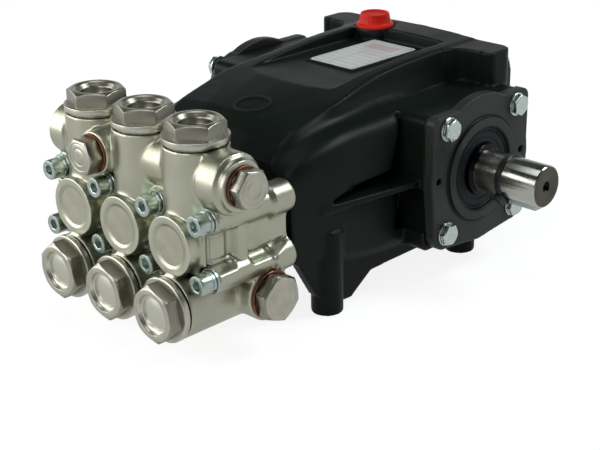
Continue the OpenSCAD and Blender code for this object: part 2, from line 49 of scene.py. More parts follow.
# Sizes repeated from the part's source, in millimetres.
PITCH = 46.0
AXIS_Z = 74.0
BARREL_Y = -180.0
BARREL_D = 36.8
TOWER_Y = -155.6
TOWER_TOP = 146.5
SUCTION_Z = 35.2
SUCTION_Y = -196.0
OUTLET_Z = 114.5
OUTLET_BOSS_X = 85.0
INLET_Y = -128.0
INLET_BOSS_X = 76.0
FRONT_BOSS_X = -23.0
FRONT_BOSS_Y = -178.0
SCREW_DZ = 18.5
SEAT_Y = -168.0
CRANK_Y = 47.0
COVER_X = 98.4
FAR_COVER_X = 118.0
COVER_T = 8.0
BOLT_HALF = 36.0
CASE_REAR_Y = 105.0
REAR_COVER_T = 8.0
REAR_COVER_Z = 83.0
REAR_BOLT_X = 60.0
REAR_BOLT_DZ = 41.0
CAP = (-28.0, 82.0, 141.0)
LABEL = (0.0, 39.0, 135.2)
KEY_X0 = 110.0
KEY_L = 36.0
KEY_W = 8.0
KEY_RISE = 3.0
KEY_DEPTH = 10.0
SHAFT_R = 14.0
TIE_X = 120.0
SCREW_STACK = 4.0
SPRING_MIDDLE = 1.85
OUTLET_WASHER_T = 1.5
INLET_WASHER_T = 2.0
FRONT_WASHER_T = 1.5

# Camera: the photograph's view, with the same focal length in pixels.
CAM_AZ = 44.937
CAM_EL = 22.586
CAM_ROLL = -0.861
CAM_F = 1362.09
CAM_TX = -181.187
CAM_TY = -1.052
CAM_D = 17.827
SENSOR = 36.0
PHOTO_WIDTH = 600.0


def make_camera():
    az = math.radians(CAM_AZ)
    el = math.radians(CAM_EL)
    roll = math.radians(CAM_ROLL)
    back = Vector((math.sin(az) * math.cos(el), -math.cos(az) * math.cos(el), math.sin(el)))
    right = Vector((math.cos(az), math.sin(az), 0.0))
    up = back.cross(right)
    right2 = right * math.cos(roll) + up * math.sin(roll)
    up2 = up * math.cos(roll) - right * math.sin(roll)
    tx = CAM_TX * CAM_D / CAM_F
    ty = CAM_TY * CAM_D / CAM_F
    place = right2 * -tx + up2 * -ty + back * CAM_D
    place = place * PITCH * MM + Vector((0.0, BARREL_Y * MM, AXIS_Z * MM))
    data = bpy.data.cameras.new("view_camera")
    data.sensor_width = SENSOR
    data.lens = SENSOR * CAM_F / PHOTO_WIDTH
    data.clip_start = 0.05
    cam = bpy.data.objects.new("view_camera", data)
    turn = Matrix((right2, up2, back)).transposed()
    cam.matrix_world = Matrix.Translation(place) @ turn.to_4x4()
    bpy.context.scene.collection.objects.link(cam)
    bpy.context.scene.camera = cam


make_camera()


# Materials

# Painted shade: the dark colour mixed into the crevices of the nickel and the plugs.
CREVICE_SHADE = (0.045, 0.042, 0.030)
TURNED_DEPTH = 0.00004


class Tree:
    """Short calls for adding and linking shader nodes."""

    def __init__(self, tree):
        self.tree = tree

    def add(self, kind, **values):
        node = self.tree.nodes.new(kind)
        for key, value in values.items():
            setattr(node, key, value)
        return node

    def link(self, a, b):
        self.tree.links.new(a, b)

    def ramp(self, fac, stops):
        node = self.add("ShaderNodeValToRGB")
        self.link(fac, node.inputs["Fac"])
        items = node.color_ramp.elements
        while len(items) < len(stops):
            items.new(0.5)
        for item, (place, color) in zip(items, stops):
            item.position = place
            item.color = (*color, 1.0)
        return node.outputs["Color"]

    def span(self, value, low, high, to_low, to_high):
        node = self.add("ShaderNodeMapRange")
        node.inputs["From Min"].default_value = low
        node.inputs["From Max"].default_value = high
        node.inputs["To Min"].default_value = to_low
        node.inputs["To Max"].default_value = to_high
        self.link(value, node.inputs["Value"])
        return node.outputs["Result"]

    def math(self, kind, a, b=None):
        node = self.add("ShaderNodeMath", operation=kind)
        for socket, item in zip(node.inputs, (a, b)):
            if item is None:
                continue
            if isinstance(item, (int, float)):
                socket.default_value = item
            else:
                self.link(item, socket)
        return node.outputs["Value"]

    def hypot(self, a, b):
        return self.math("SQRT", self.math("ADD", self.math("MULTIPLY", a, a), self.math("MULTIPLY", b, b)))


class Net(Tree):
    """The node tree of a new material, on the object's own coordinates."""

    def __init__(self, name):
        self.mat = bpy.data.materials.new(name)
        self.mat.use_nodes = True
        super().__init__(self.mat.node_tree)
        self.bsdf = self.tree.nodes["Principled BSDF"]

    def coords(self):
        return self.add("ShaderNodeTexCoord").outputs["Object"]

    def axes(self):
        """The x, y and z of the object's own coordinates, in metres."""
        parts = self.add("ShaderNodeSeparateXYZ")
        self.link(self.coords(), parts.inputs[0])
        return parts.outputs[0], parts.outputs[1], parts.outputs[2]

    def noise(self, scale, detail=3.0, rough=0.5):
        node = self.add("ShaderNodeTexNoise")
        node.inputs["Scale"].default_value = scale
        node.inputs["Detail"].default_value = detail
        node.inputs["Roughness"].default_value = rough
        self.link(self.coords(), node.inputs["Vector"])
        return node.outputs["Fac"]

    def cloud(self, scale, detail, color_a, color_b):
        """Soft patches of two colours."""
        return self.ramp(self.noise(scale, detail), [(0.3, color_a), (0.7, color_b)])

    def patches(self, scale, detail, low, high):
        """Soft patches of a value between two ends."""
        return self.span(self.noise(scale, detail), 0.3, 0.7, low, high)

    def mix(self, fac, a, b):
        node = self.add("ShaderNodeMix", data_type="RGBA", blend_type="MIX")
        if isinstance(fac, (int, float)):
            node.inputs[0].default_value = fac
        else:
            self.link(fac, node.inputs[0])
        for socket, item in ((node.inputs[6], a), (node.inputs[7], b)):
            if isinstance(item, tuple):
                socket.default_value = (*item, 1.0)
            else:
                self.link(item, socket)
        return node.outputs[2]

    def bump(self, height, strength, distance, before=None):
        node = self.add("ShaderNodeBump")
        node.inputs["Strength"].default_value = strength
        node.inputs["Distance"].default_value = distance
        self.link(height, node.inputs["Height"])
        if before is not None:
            self.link(before, node.inputs["Normal"])
        return node.outputs["Normal"]

    def waves(self, value, pitch):
        return self.math("SINE", self.math("MULTIPLY", value, 2.0 * math.pi / pitch))

    def rings(self, pitch):
        """Turning marks around the object's own z axis."""
        x, y, _ = self.axes()
        return self.waves(self.hypot(x, y), pitch)

    def edge(self, low, high):
        """High on convex edges and low elsewhere."""
        geo = self.add("ShaderNodeNewGeometry")
        return self.span(geo.outputs["Pointiness"], low, high, 0.0, 1.0)

    def open_air(self, distance, low, high):
        """Low in crevices and high in the open; the materials use it to paint shade."""
        node = self.add("ShaderNodeAmbientOcclusion")
        node.samples = 6
        node.inputs["Distance"].default_value = distance
        return self.span(node.outputs["AO"], low, high, 0.0, 1.0)

    def finish(self, color, rough, metal=0.0, normal=None, **extra):
        put = self.bsdf.inputs
        for socket, item in ((put["Base Color"], color), (put["Roughness"], rough)):
            if isinstance(item, tuple):
                socket.default_value = (*item, 1.0)
            elif isinstance(item, (int, float)):
                socket.default_value = item
            else:
                self.link(item, socket)
        put["Metallic"].default_value = metal
        for key, value in extra.items():
            put[key.replace("_", " ")].default_value = value
        if normal is not None:
            self.link(normal, put["Normal"])
        return self.mat


def cast_black():
    """Satin black paint over a casting: fine orange peel, painted shade in the hollows, worn edges that are
    partly a painted highlight.
    """
    net = Net("crankcase_black")
    tone = net.cloud(16.0, 4.0, (0.0068, 0.0112, 0.0086), (0.0102, 0.0152, 0.0122))
    # Painted shade: darker where the open air is low.
    tone = net.mix(net.open_air(0.006, 0.35, 0.95), (0.0040, 0.0054, 0.0045), tone)
    # Lighter convex edges: patchy wear, and partly a painted highlight.
    wear_and_sheen = net.span(net.noise(160.0, 4.0), 0.35, 0.7, 0.35, 0.8)
    tone = net.mix(net.math("MULTIPLY", net.edge(0.525, 0.585), wear_and_sheen), tone, (0.075, 0.085, 0.080))
    rough = net.patches(45.0, 5.0, 0.31, 0.39)
    grain = net.bump(net.noise(1100.0, 3.0, 0.6), 0.12, 0.0003)
    peel = net.bump(net.noise(190.0, 2.0), 0.05, 0.0008, grain)
    return net.finish(tone, rough, 0.0, peel, Specular_IOR_Level=0.10)


def cover_black():
    """Machined cover in thin black paint, with painted shade in its hollows, lighter worn edges that are
    partly a painted highlight, and two turned grooves around the shaft, bumped in and painted dark as their
    shade.
    """
    groove_r = 0.0356
    lip_r = 0.0284
    net = Net("cover_black")
    tone = net.cloud(22.0, 4.0, (0.0260, 0.0305, 0.0255), (0.0345, 0.0395, 0.0330))
    # Painted shade: darker where the open air is low.
    tone = net.mix(net.open_air(0.004, 0.35, 0.95), (0.0040, 0.0045, 0.0040), tone)
    # Lighter convex edges: patchy wear, and partly a painted highlight.
    wear_and_sheen = net.span(net.noise(200.0, 4.0), 0.4, 0.7, 0.1, 0.5)
    tone = net.mix(net.math("MULTIPLY", net.edge(0.53, 0.60), wear_and_sheen), tone, (0.060, 0.064, 0.056))
    _, y, z = net.axes()
    r = net.hypot(net.math("SUBTRACT", y, CRANK_Y * MM), net.math("SUBTRACT", z, AXIS_Z * MM))
    # Painted shade: dark lines in the two turned grooves, which are also bumped in.
    groove = net.span(net.math("ABSOLUTE", net.math("SUBTRACT", r, groove_r)), 0.0004, 0.0009, 1.0, 0.0)
    lip = net.span(net.math("ABSOLUTE", net.math("SUBTRACT", r, lip_r)), 0.0003, 0.0008, 1.0, 0.0)
    lines = net.math("MAXIMUM", groove, lip)
    tone = net.mix(lines, tone, (0.0015, 0.0016, 0.0015))
    rough = net.patches(60.0, 4.0, 0.36, 0.46)
    cut = net.bump(net.math("SUBTRACT", 1.0, lines), 1.0, 0.0008)
    grain = net.bump(net.noise(1100.0, 2.0), 0.10, 0.0002, cut)
    return net.finish(tone, rough, 0.0, grain, Specular_IOR_Level=0.26)


def nickel(name, tone_a, tone_b, rough_a, rough_b, grain):
    """Satin nickel plate: soft colour clouds, blasted grain, painted shade in the crevices, painted
    highlights on the edges.
    """
    net = Net(name)
    tone = net.cloud(35.0, 4.0, tone_a, tone_b)
    # Painted shade: darker where the open air is low.
    tone = net.mix(net.open_air(0.005, 0.16, 0.68), CREVICE_SHADE, tone)
    # Painted highlight: pale colour on the convex edges.
    tone = net.mix(net.math("MULTIPLY", net.edge(0.52, 0.60), 0.55), tone, (0.80, 0.80, 0.70))
    rough = net.patches(90.0, 5.0, rough_a, rough_b)
    fine = net.bump(net.noise(1300.0, 3.0, 0.6), grain, 0.0002)
    wave = net.bump(net.noise(60.0, 2.0), 0.04, 0.0015, fine)
    return net.finish(tone, rough, 1.0, wave)


def plug(name, face_z, bowl_r=0.0):
    """Hexagon plug: dark flats, a brighter turned face and collar, a pale bowl where there is one, painted
    shade in the crevices and painted highlights on the edges.
    """
    net = Net(name)
    x, y, z = net.axes()
    tone = net.cloud(60.0, 5.0, (0.245, 0.240, 0.196), (0.335, 0.328, 0.270))
    cut = net.cloud(110.0, 4.0, (0.46, 0.455, 0.375), (0.58, 0.575, 0.475))
    face = net.span(z, (face_z - 0.7) * MM, (face_z - 0.3) * MM, 0.0, 1.0)
    collar = net.span(z, 0.0, 0.0004, 1.0, 0.0)
    tone = net.mix(net.math("MAXIMUM", face, collar), tone, cut)
    if bowl_r:
        bowl = net.span(net.hypot(x, y), bowl_r * MM, (bowl_r + 0.5) * MM, 1.0, 0.0)
        tone = net.mix(bowl, tone, (0.66, 0.66, 0.57))
    # Painted shade: darker where the open air is low.
    tone = net.mix(net.open_air(0.004, 0.10, 0.60), CREVICE_SHADE, tone)
    # Painted highlight: pale colour on the convex edges.
    tone = net.mix(net.math("MULTIPLY", net.edge(0.52, 0.58), 0.6), tone, (0.80, 0.80, 0.72))
    rough = net.patches(90.0, 5.0, 0.26, 0.36)
    marks = net.bump(net.rings(0.0011), 0.25, TURNED_DEPTH)
    fine = net.bump(net.noise(1200.0, 3.0, 0.6), 0.16, 0.0002, marks)
    return net.finish(tone, rough, 1.0, fine)


def turned(name, tone, rough, pitch, strength):
    """Turned metal: fine rings around the piece's own axis, painted shade in the crevices and painted
    highlights on the edges.
    """
    net = Net(name)
    color = net.cloud(80.0, 3.0, tuple(0.84 * c for c in tone), tone)
    # Painted shade: darker where the open air is low.
    color = net.mix(net.open_air(0.006, 0.15, 0.75), (0.05, 0.046, 0.034), color)
    # Painted highlight: pale colour on the convex edges.
    color = net.mix(net.math("MULTIPLY", net.edge(0.52, 0.57), 0.6), color, (0.80, 0.80, 0.73))
    marks = net.bump(net.rings(pitch), strength, TURNED_DEPTH)
    fine = net.bump(net.noise(1600.0, 2.0), 0.08, 0.0001, marks)
    return net.finish(color, net.patches(200.0, 3.0, rough - 0.04, rough + 0.06), 1.0, fine)


def zinc(name, tone_a, tone_b, rough):
    """Passivated zinc: patchy tint, small scratches, painted shade in the crevices and painted highlights on
    the edges.
    """
    net = Net(name)
    tone = net.ramp(net.noise(260.0, 3.0), [(0.32, tone_a), (0.68, tone_b)])
    # Painted shade: darker where the open air is low.
    tone = net.mix(net.open_air(0.003, 0.08, 0.50), (0.03, 0.035, 0.032), tone)
    # Painted highlight: pale colour on the convex edges.
    tone = net.mix(net.math("MULTIPLY", net.edge(0.53, 0.62), 0.3), tone, (0.80, 0.86, 0.83))
    fine = net.bump(net.noise(1500.0, 3.0), 0.05, 0.00006)
    return net.finish(tone, net.patches(500.0, 3.0, rough - 0.03, rough + 0.06), 1.0, fine)


def shaft_steel():
    """Ground steel with fine turning marks; the journal behind the shaft end and the centre hole are painted
    dark as shade.
    """
    journal_shade_end = (0.0044, 0.0052)
    end_face = (0.0520, 0.0522)
    shaded_centre_hole = (0.0036, 0.0040)
    net = Net("shaft_steel")
    x, y, z = net.axes()
    tone = net.cloud(50.0, 3.0, (0.53, 0.54, 0.49), (0.57, 0.58, 0.525))
    # Painted shade: the journal behind the shaft end is darkened, as in the shade of the cover and the seal.
    tone = net.mix(net.span(z, *journal_shade_end, 0.0, 1.0), (0.020, 0.016, 0.015), tone)
    ending = net.span(z, *end_face, 0.0, 1.0)
    tone = net.mix(ending, tone, (0.105, 0.100, 0.084))
    # Painted shade: darker in the centre hole.
    tone = net.mix(net.span(net.hypot(x, y), *shaded_centre_hole, 1.0, 0.0), tone, (0.020, 0.018, 0.016))
    rough = net.math("ADD", net.patches(120.0, 3.0, 0.19, 0.23), net.math("MULTIPLY", ending, 0.16))
    fine = net.bump(net.waves(z, 0.0006), 0.12, 0.00003)
    around = net.add("ShaderNodeTangent", direction_type="RADIAL", axis="Z")
    net.link(around.outputs[0], net.bsdf.inputs["Tangent"])
    return net.finish(tone, rough, 1.0, fine, Anisotropic=0.7, Anisotropic_Rotation=0.25)


def copper():
    """Tarnished copper washer, with painted shade where the open air is low."""
    net = Net("washer_copper")
    tone = net.cloud(300.0, 4.0, (0.16, 0.062, 0.036), (0.34, 0.155, 0.095))
    # Painted shade: darker where the open air is low.
    tone = net.mix(net.open_air(0.003, 0.25, 0.8), (0.030, 0.014, 0.010), tone)
    fine = net.bump(net.noise(900.0, 3.0), 0.1, 0.0001)
    return net.finish(tone, net.patches(500.0, 3.0, 0.34, 0.5), 1.0, fine)


def rubber():
    """Blue-black moulded rubber."""
    net = Net("seal_rubber")
    tone = net.cloud(90.0, 4.0, (0.0085, 0.0118, 0.0150), (0.0125, 0.0165, 0.0205))
    fine = net.bump(net.noise(700.0, 3.0), 0.1, 0.0002)
    return net.finish(tone, net.patches(250.0, 4.0, 0.42, 0.55), 0.0, fine, Specular_IOR_Level=0.18)


def plastic(name, tone_a, tone_b, rough, grain=0.06, level=0.5):
    """Moulded plastic with a fine grain."""
    net = Net(name)
    tone = net.cloud(130.0, 4.0, tone_a, tone_b)
    ruff = net.patches(300.0, 3.0, rough - 0.04, rough + 0.08)
    fine = net.bump(net.noise(800.0, 3.0), grain, 0.0002)
    return net.finish(tone, ruff, 0.0, fine, Specular_IOR_Level=level)


def blank_label():
    """Pale label with an empty ruled table, and nothing written on it."""
    line = 0.0002
    half_w = 0.0176
    half_l = 0.0307
    net = Net("plate_plain")
    x, y, _ = net.axes()
    dx = net.math("ABSOLUTE", x)
    dy = net.math("ABSOLUTE", y)

    def band(value, middle, half):
        return net.math("LESS_THAN", net.math("ABSOLUTE", net.math("SUBTRACT", value, middle)), half)

    frame_side = net.math("MULTIPLY", band(dx, half_w, line), net.math("LESS_THAN", dy, half_l + line))
    frame_end = net.math("MULTIPLY", band(dy, half_l, line), net.math("LESS_THAN", dx, half_w + 0.0001))
    lines = net.math("MAXIMUM", frame_side, frame_end)
    within = net.math("LESS_THAN", dx, half_w)
    for k in range(6):
        row = net.math("MULTIPLY", band(y, -0.024 + 0.0065 * k, line), within)
        lines = net.math("MAXIMUM", lines, row)
    column = net.math("MULTIPLY", band(x, -0.004, line), band(y, -0.011, 0.0195))
    lines = net.math("MAXIMUM", lines, column)
    tone = net.cloud(60.0, 4.0, (0.60, 0.64, 0.605), (0.68, 0.715, 0.68))
    rosy = net.math("MULTIPLY", band(y, 0.0195, 0.0062), net.math("LESS_THAN", dx, 0.0125))
    tone = net.mix(net.math("MULTIPLY", rosy, 0.42), tone, (0.50, 0.24, 0.25))
    tone = net.mix(net.math("MULTIPLY", lines, 0.75), tone, (0.16, 0.18, 0.17))
    fine = net.bump(net.noise(400.0, 2.0), 0.04, 0.0002)
    return net.finish(tone, net.patches(90.0, 3.0, 0.32, 0.44), 0.0, fine)


LOOKS = {
    "crankcase_black": cast_black(),
    "cover_black": cover_black(),
    "head_nickel": nickel("head_nickel", (0.45, 0.455, 0.355), (0.54, 0.545, 0.43), 0.30, 0.40, 0.26),
    "washer_copper": copper(),
    "plug_nickel": nickel("plug_nickel", (0.255, 0.250, 0.205), (0.33, 0.323, 0.268), 0.26, 0.35, 0.18),
    "screw_zinc": zinc("screw_zinc", (0.42, 0.50, 0.46), (0.53, 0.61, 0.57), 0.28),
    "bolt_zinc": zinc("bolt_zinc", (0.60, 0.68, 0.65), (0.70, 0.78, 0.75), 0.24),
    "seal_rubber": rubber(),
    "shaft_steel": shaft_steel(),
    "key_steel": zinc("key_steel", (0.42, 0.47, 0.44), (0.50, 0.55, 0.51), 0.34),
    "tie_plastic": plastic("tie_plastic", (0.006, 0.006, 0.007), (0.011, 0.011, 0.012), 0.34),
    "cap_red": plastic("cap_red", (0.64, 0.016, 0.010), (0.76, 0.026, 0.016), 0.36, 0.10, 0.15),
    "plate_plain": blank_label(),
    "sight_glass": plastic("sight_glass", (0.42, 0.30, 0.07), (0.52, 0.40, 0.13), 0.10, 0.02),
}
VALVE_HEX_H = 9.0
OUTLET_HEX_H = 8.0
INLET_HEX_H = 9.0
FRONT_HEX_H = 9.5
VALVE_LOOK = plug("delivery_plug_nickel", VALVE_HEX_H)
DOME_LOOK = plug("suction_plug_nickel", VALVE_HEX_H, 12.4)
OUTLET_LOOK = plug("outlet_plug_nickel", OUTLET_HEX_H)
INLET_LOOK = plug("inlet_plug_nickel", INLET_HEX_H)
FRONT_LOOK = plug("front_plug_nickel", FRONT_HEX_H)
DISC_NICKEL = turned("disc_nickel", (0.56, 0.565, 0.445), 0.33, 0.0009, 0.35)
for row in frame["record"]["subparts"]:
    node_obj = NODES[row["node"]]
    node_obj.data.materials.clear()
    node_obj.data.materials.append(LOOKS[row["material_slot"]])


# Mesh helpers

SHARP_ANGLE = 32.0


def sharp_by_angle(mesh):
    mesh.polygons.foreach_set("use_smooth", [True] * len(mesh.polygons))
    mesh.set_sharp_from_angle(angle=SHARP_ANGLE * DEG)


def grid_mesh(name, rings, close_start=True, close_end=True):
    """A skin through rings of the same length. Each ring is an (n, 3) array in millimetres."""
    n = len(rings[0])
    verts = np.concatenate([np.asarray(r, dtype=float) for r in rings]) * MM
    m = len(rings)
    faces = []
    for j in range(m - 1):
        for k in range(n):
            a = j * n + k
            b = j * n + (k + 1) % n
            faces.append((a, b, b + n, a + n))
    verts = [tuple(v) for v in verts]
    if close_start:
        verts.append(tuple(np.mean(verts[:n], axis=0)))
        c = len(verts) - 1
        faces += [((k + 1) % n, k, c) for k in range(n)]
    if close_end:
        verts.append(tuple(np.mean(verts[(m - 1) * n:m * n], axis=0)))
        c = len(verts) - 1
        base = (m - 1) * n
        faces += [(base + k, base + (k + 1) % n, c) for k in range(n)]
    mesh = bpy.data.meshes.new(name)
    mesh.from_pydata(verts, [], faces)
    mesh.update()
    sharp_by_angle(mesh)
    return mesh


ROUND = np.arange(0, 360, 3.75) * DEG


def hexagon(af, corner):
    """Angles and radii of a hexagon with rounded corners; a flat's middle is at angle 0."""
    a = af / 2.0
    tangent = math.atan((a - corner) * math.tan(30 * DEG) / a)
    steps = [-tangent + t * 2 * tangent for t in (0.0, 0.12, 0.3, 0.5, 0.7, 0.88, 1.0)]
    steps += [tangent + (60 * DEG - 2 * tangent) * t for t in (0.2, 0.4, 0.6, 0.8)]
    angles = []
    radii = []
    c = (a - corner) / math.cos(30 * DEG)
    for k in range(6):
        for phi in steps:
            off = abs(phi) if phi <= 30 * DEG else 60 * DEG - phi
            if off <= tangent:
                r = a / math.cos(off)
            else:
                d = 30 * DEG - off
                r = c * math.cos(d) + math.sqrt(max(0.0, corner ** 2 - (c * math.sin(d)) ** 2))
            angles.append(k * 60 * DEG + phi)
            radii.append(r)
    return np.array(angles), np.array(radii)


def ring(angles, r, z):
    r = np.broadcast_to(np.asarray(r, dtype=float), angles.shape)
    z = np.broadcast_to(np.asarray(z, dtype=float), angles.shape)
    return np.stack([r * np.cos(angles), r * np.sin(angles), z], axis=1)


def stack(angles, profile):
    """Rings from a profile of radius and height."""
    return [ring(angles, r, z) for r, z in profile]


def lathe(name, profile, angles=ROUND, **caps):
    return grid_mesh(name, stack(angles, profile), **caps)


def tube(name, profile):
    """A lathed ring whose profile comes back to its own start, so that it needs no caps."""
    return lathe(name, profile, close_start=False, close_end=False)


def hex_rings(af, height, corner, chamfer_r, edge=0.35, foot=0.0):
    """The angles, and the side and chamfer rings, of a hexagon head from its seat to the flat of its top."""
    angles, radii = hexagon(af, corner)
    slope = math.tan(28 * DEG)
    top = height - np.maximum(0.0, radii - chamfer_r) * slope
    rings = []
    if foot:
        rings.append(ring(angles, np.minimum(radii, foot), 0.0))
        drop = np.maximum(0.0, radii - foot) * 0.45
        rings.append(ring(angles, radii - edge * 0.5, drop + edge * 0.2))
        rings.append(ring(angles, radii, drop + edge))
    else:
        rings.append(ring(angles, radii, 0.0))
    rings.append(ring(angles, radii, top - edge))
    rings.append(ring(angles, radii - 0.3 * edge, top - 0.35 * edge))
    rings.append(ring(angles, radii - edge, top + edge * slope * 0.55))
    inner = np.minimum(radii - edge * 1.6, chamfer_r + 0.5)
    rings.append(ring(angles, inner, height - np.maximum(0.0, inner - chamfer_r) * slope))
    inner = np.minimum(radii - edge * 2.2, chamfer_r - 0.3)
    rings.append(ring(angles, inner, height))
    return angles, rings


def place(obj, at, turn=None):
    spot = Matrix.Translation(Vector(at) * MM)
    obj.matrix_world = spot @ turn.to_4x4() if turn is not None else spot


def face_to(direction, spin=0.0):
    """A turn that points local +Z along a direction, with a spin about it."""
    quat = Vector(direction).to_track_quat("Z", "Y")
    return quat.to_matrix() @ Matrix.Rotation(spin * DEG, 3, "Z")


def piece(name, mesh, slot, body="pump_body", look=None, at=(0, 0, 0), turn=None, stands_for=()):
    """Puts a mesh in its place, in its slot and on its body, instead of the nodes that it stands for."""
    if not mesh.materials:
        mesh.materials.append(look if look is not None else LOOKS[slot])
    obj = bpy.data.objects.new(name, mesh)
    bpy.context.scene.collection.objects.link(obj)
    place(obj, at, turn)
    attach(obj, body)
    if stands_for:
        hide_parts(*stands_for)
    return obj


def relax(mesh, rounds, hollow, ridge, guard=None):
    """Fills the hollows of a mesh and eases its ridges. The guard gives a weight for each vertex."""
    count = len(mesh.vertices)
    at = np.empty(count * 3)
    mesh.vertices.foreach_get("co", at)
    at = at.reshape(-1, 3)
    ends = np.empty(len(mesh.edges) * 2, dtype=np.int64)
    mesh.edges.foreach_get("vertices", ends)
    ends = ends.reshape(-1, 2)
    one = np.concatenate([ends[:, 0], ends[:, 1]])
    two = np.concatenate([ends[:, 1], ends[:, 0]])
    degree = np.maximum(1, np.bincount(one, minlength=count)).astype(float)
    weight = np.ones(count) if guard is None else guard(at / MM)
    for turn in range(rounds):
        total = np.stack([np.bincount(one, weights=at[two, k], minlength=count) for k in range(3)], axis=1)
        pull = total / degree[:, None] - at
        if turn % 6 == 0:
            mesh.vertices.foreach_set("co", at.ravel())
            mesh.update()
            normal = np.empty(count * 3)
            mesh.vertex_normals.foreach_get("vector", normal)
            normal = normal.reshape(-1, 3)
        rise = np.sum(pull * normal, axis=1)
        amount = np.where(rise > 0, hollow, ridge) * weight
        at = at + pull * amount[:, None]
    mesh.vertices.foreach_set("co", at.ravel())
    mesh.update()


def fade(value, low, high):
    """Rises from 0 at low to 1 at high."""
    return np.clip((value - low) / (high - low), 0.0, 1.0)


def window(value, low, high, soft):
    """1 between low and high, with soft ends that are 0 outside."""
    return np.clip((value - low) / soft, 0.0, 1.0) * np.clip((high - value) / soft, 0.0, 1.0)


# Dents in the sides of the head. Each has its depth, and its ends and softness along y and along z.
FRONT_POCKET = (4.0, (-171.0, -149.8, 1.6), (65.0, 84.5, 1.6))
SIDE_GROOVES = (
    (5.0, (-170.5, -153.0, 1.8), (60.4, 65.0, 1.2)),
    (1.2, (-140.6, -109.4, 0.8), (64.2, 84.0, 1.0)),
    (2.6, (-141.5, -139.2, 0.7), (62.0, 85.0, 1.0)),
)
SIDE_X = 62.0
SIDE_SOFT = 3.0
BOSS_SWELL = 1.5


def dent(at, depth, along, up):
    return depth * window(at[:, 1], *along) * window(at[:, 2], *up)


def carve_sides(at):
    """Deepens the pockets, ribs and bosses on both sides of the head, as the casting has them."""
    x, y, z = np.abs(at[:, 0]), at[:, 1], at[:, 2]
    side = np.clip((x - SIDE_X) / SIDE_SOFT, 0.0, 1.0)
    depth = dent(at, *FRONT_POCKET)
    panel = 1.4 + 1.8 * np.clip((y + 171.0) / 13.0, 0.0, 1.0)
    depth -= panel * window(y, -171.5, -155.5, 2.0) * window(z, 66.0, 83.5, 2.0)
    for groove in SIDE_GROOVES:
        depth += dent(at, *groove)
    floor_z = 59.2 + 4.6 * np.clip((y + 125.5) / 15.0, 0.0, 1.0)
    slope = np.clip(z - floor_z, 0.0, 1.0) * np.clip(65.0 - z, 0.0, 1.0)
    depth += 5.0 * window(y, -141.3, -109.4, 1.0) * slope
    depth *= side
    out = at.copy()
    out[:, 0] -= np.sign(at[:, 0]) * depth
    for mid in (AXIS_Z + SCREW_DZ, AXIS_Z - SCREW_DZ):
        dx = x - 1.5 * PITCH
        dz = z - mid
        r = np.hypot(dx, dz)
        swell = BOSS_SWELL * window(y, -124.9, -104.0, 0.7) * (r < 12.5) * (r > 6.0) * side
        out[:, 0] += np.sign(at[:, 0]) * swell * dx / np.maximum(r, 1e-6)
        out[:, 2] += swell * dz / np.maximum(r, 1e-6)
    return out


CORNER_R = 52.0
CORNER_KEPT = 0.3


def round_front(at):
    """Rounds the two front corners of the far bearing cover."""
    dy = at[:, 1] - CRANK_Y
    dz = at[:, 2] - AXIS_Z
    r = np.hypot(dy, dz)
    pulled = (CORNER_R + (r - CORNER_R) * CORNER_KEPT) / np.maximum(r, 1.0)
    pull = np.where((r > CORNER_R) & (dy < 0.0), pulled, 1.0)
    out = at.copy()
    out[:, 1] = CRANK_Y + dy * pull
    out[:, 2] = AXIS_Z + dz * pull
    return out


WELD_GAP = 0.00002


def cast_skin(name, node, slot, voxel, faces, steps, carve=None):
    """A finer skin of a casting: the solid's own shape with its edges and corners run together."""
    source = NODES[node]
    base = bpy.data.objects.new(name + "_base", source.data.copy())
    bpy.context.scene.collection.objects.link(base)
    weld = base.modifiers.new("weld", "WELD")
    weld.merge_threshold = WELD_GAP
    remesh = base.modifiers.new("remesh", "REMESH")
    remesh.mode = "VOXEL"
    remesh.voxel_size = voxel * MM
    remesh.adaptivity = 0.0
    graph = bpy.context.evaluated_depsgraph_get()
    mesh = bpy.data.meshes.new_from_object(base.evaluated_get(graph))
    if carve is not None:
        at = np.empty(len(mesh.vertices) * 3)
        mesh.vertices.foreach_get("co", at)
        at = carve(at.reshape(-1, 3) / MM) * MM
        mesh.vertices.foreach_set("co", at.ravel())
        mesh.update()
    for step in steps:
        relax(mesh, *step)
    count = len(mesh.polygons)
    if count * 2 > faces:
        thin = bpy.data.objects.new(name + "_thin", mesh)
        bpy.context.scene.collection.objects.link(thin)
        less = thin.modifiers.new("less", "DECIMATE")
        less.ratio = faces / (count * 2.0)
        graph = bpy.context.evaluated_depsgraph_get()
        mesh = bpy.data.meshes.new_from_object(thin.evaluated_get(graph))
        bpy.data.objects.remove(thin)
    bpy.data.objects.remove(base)
    mesh.name = name
    mesh.materials.clear()
    mesh.polygons.foreach_set("use_smooth", [True] * len(mesh.polygons))
    return piece(name, mesh, slot, stands_for=(node,))


def screw_place(i):
    """The x and z of head screw i, from the upper row to the lower one."""
    return (i % 4 - 1.5) * PITCH, AXIS_Z + (SCREW_DZ if i < 4 else -SCREW_DZ)


PLUG_SEAT_R = 19.2


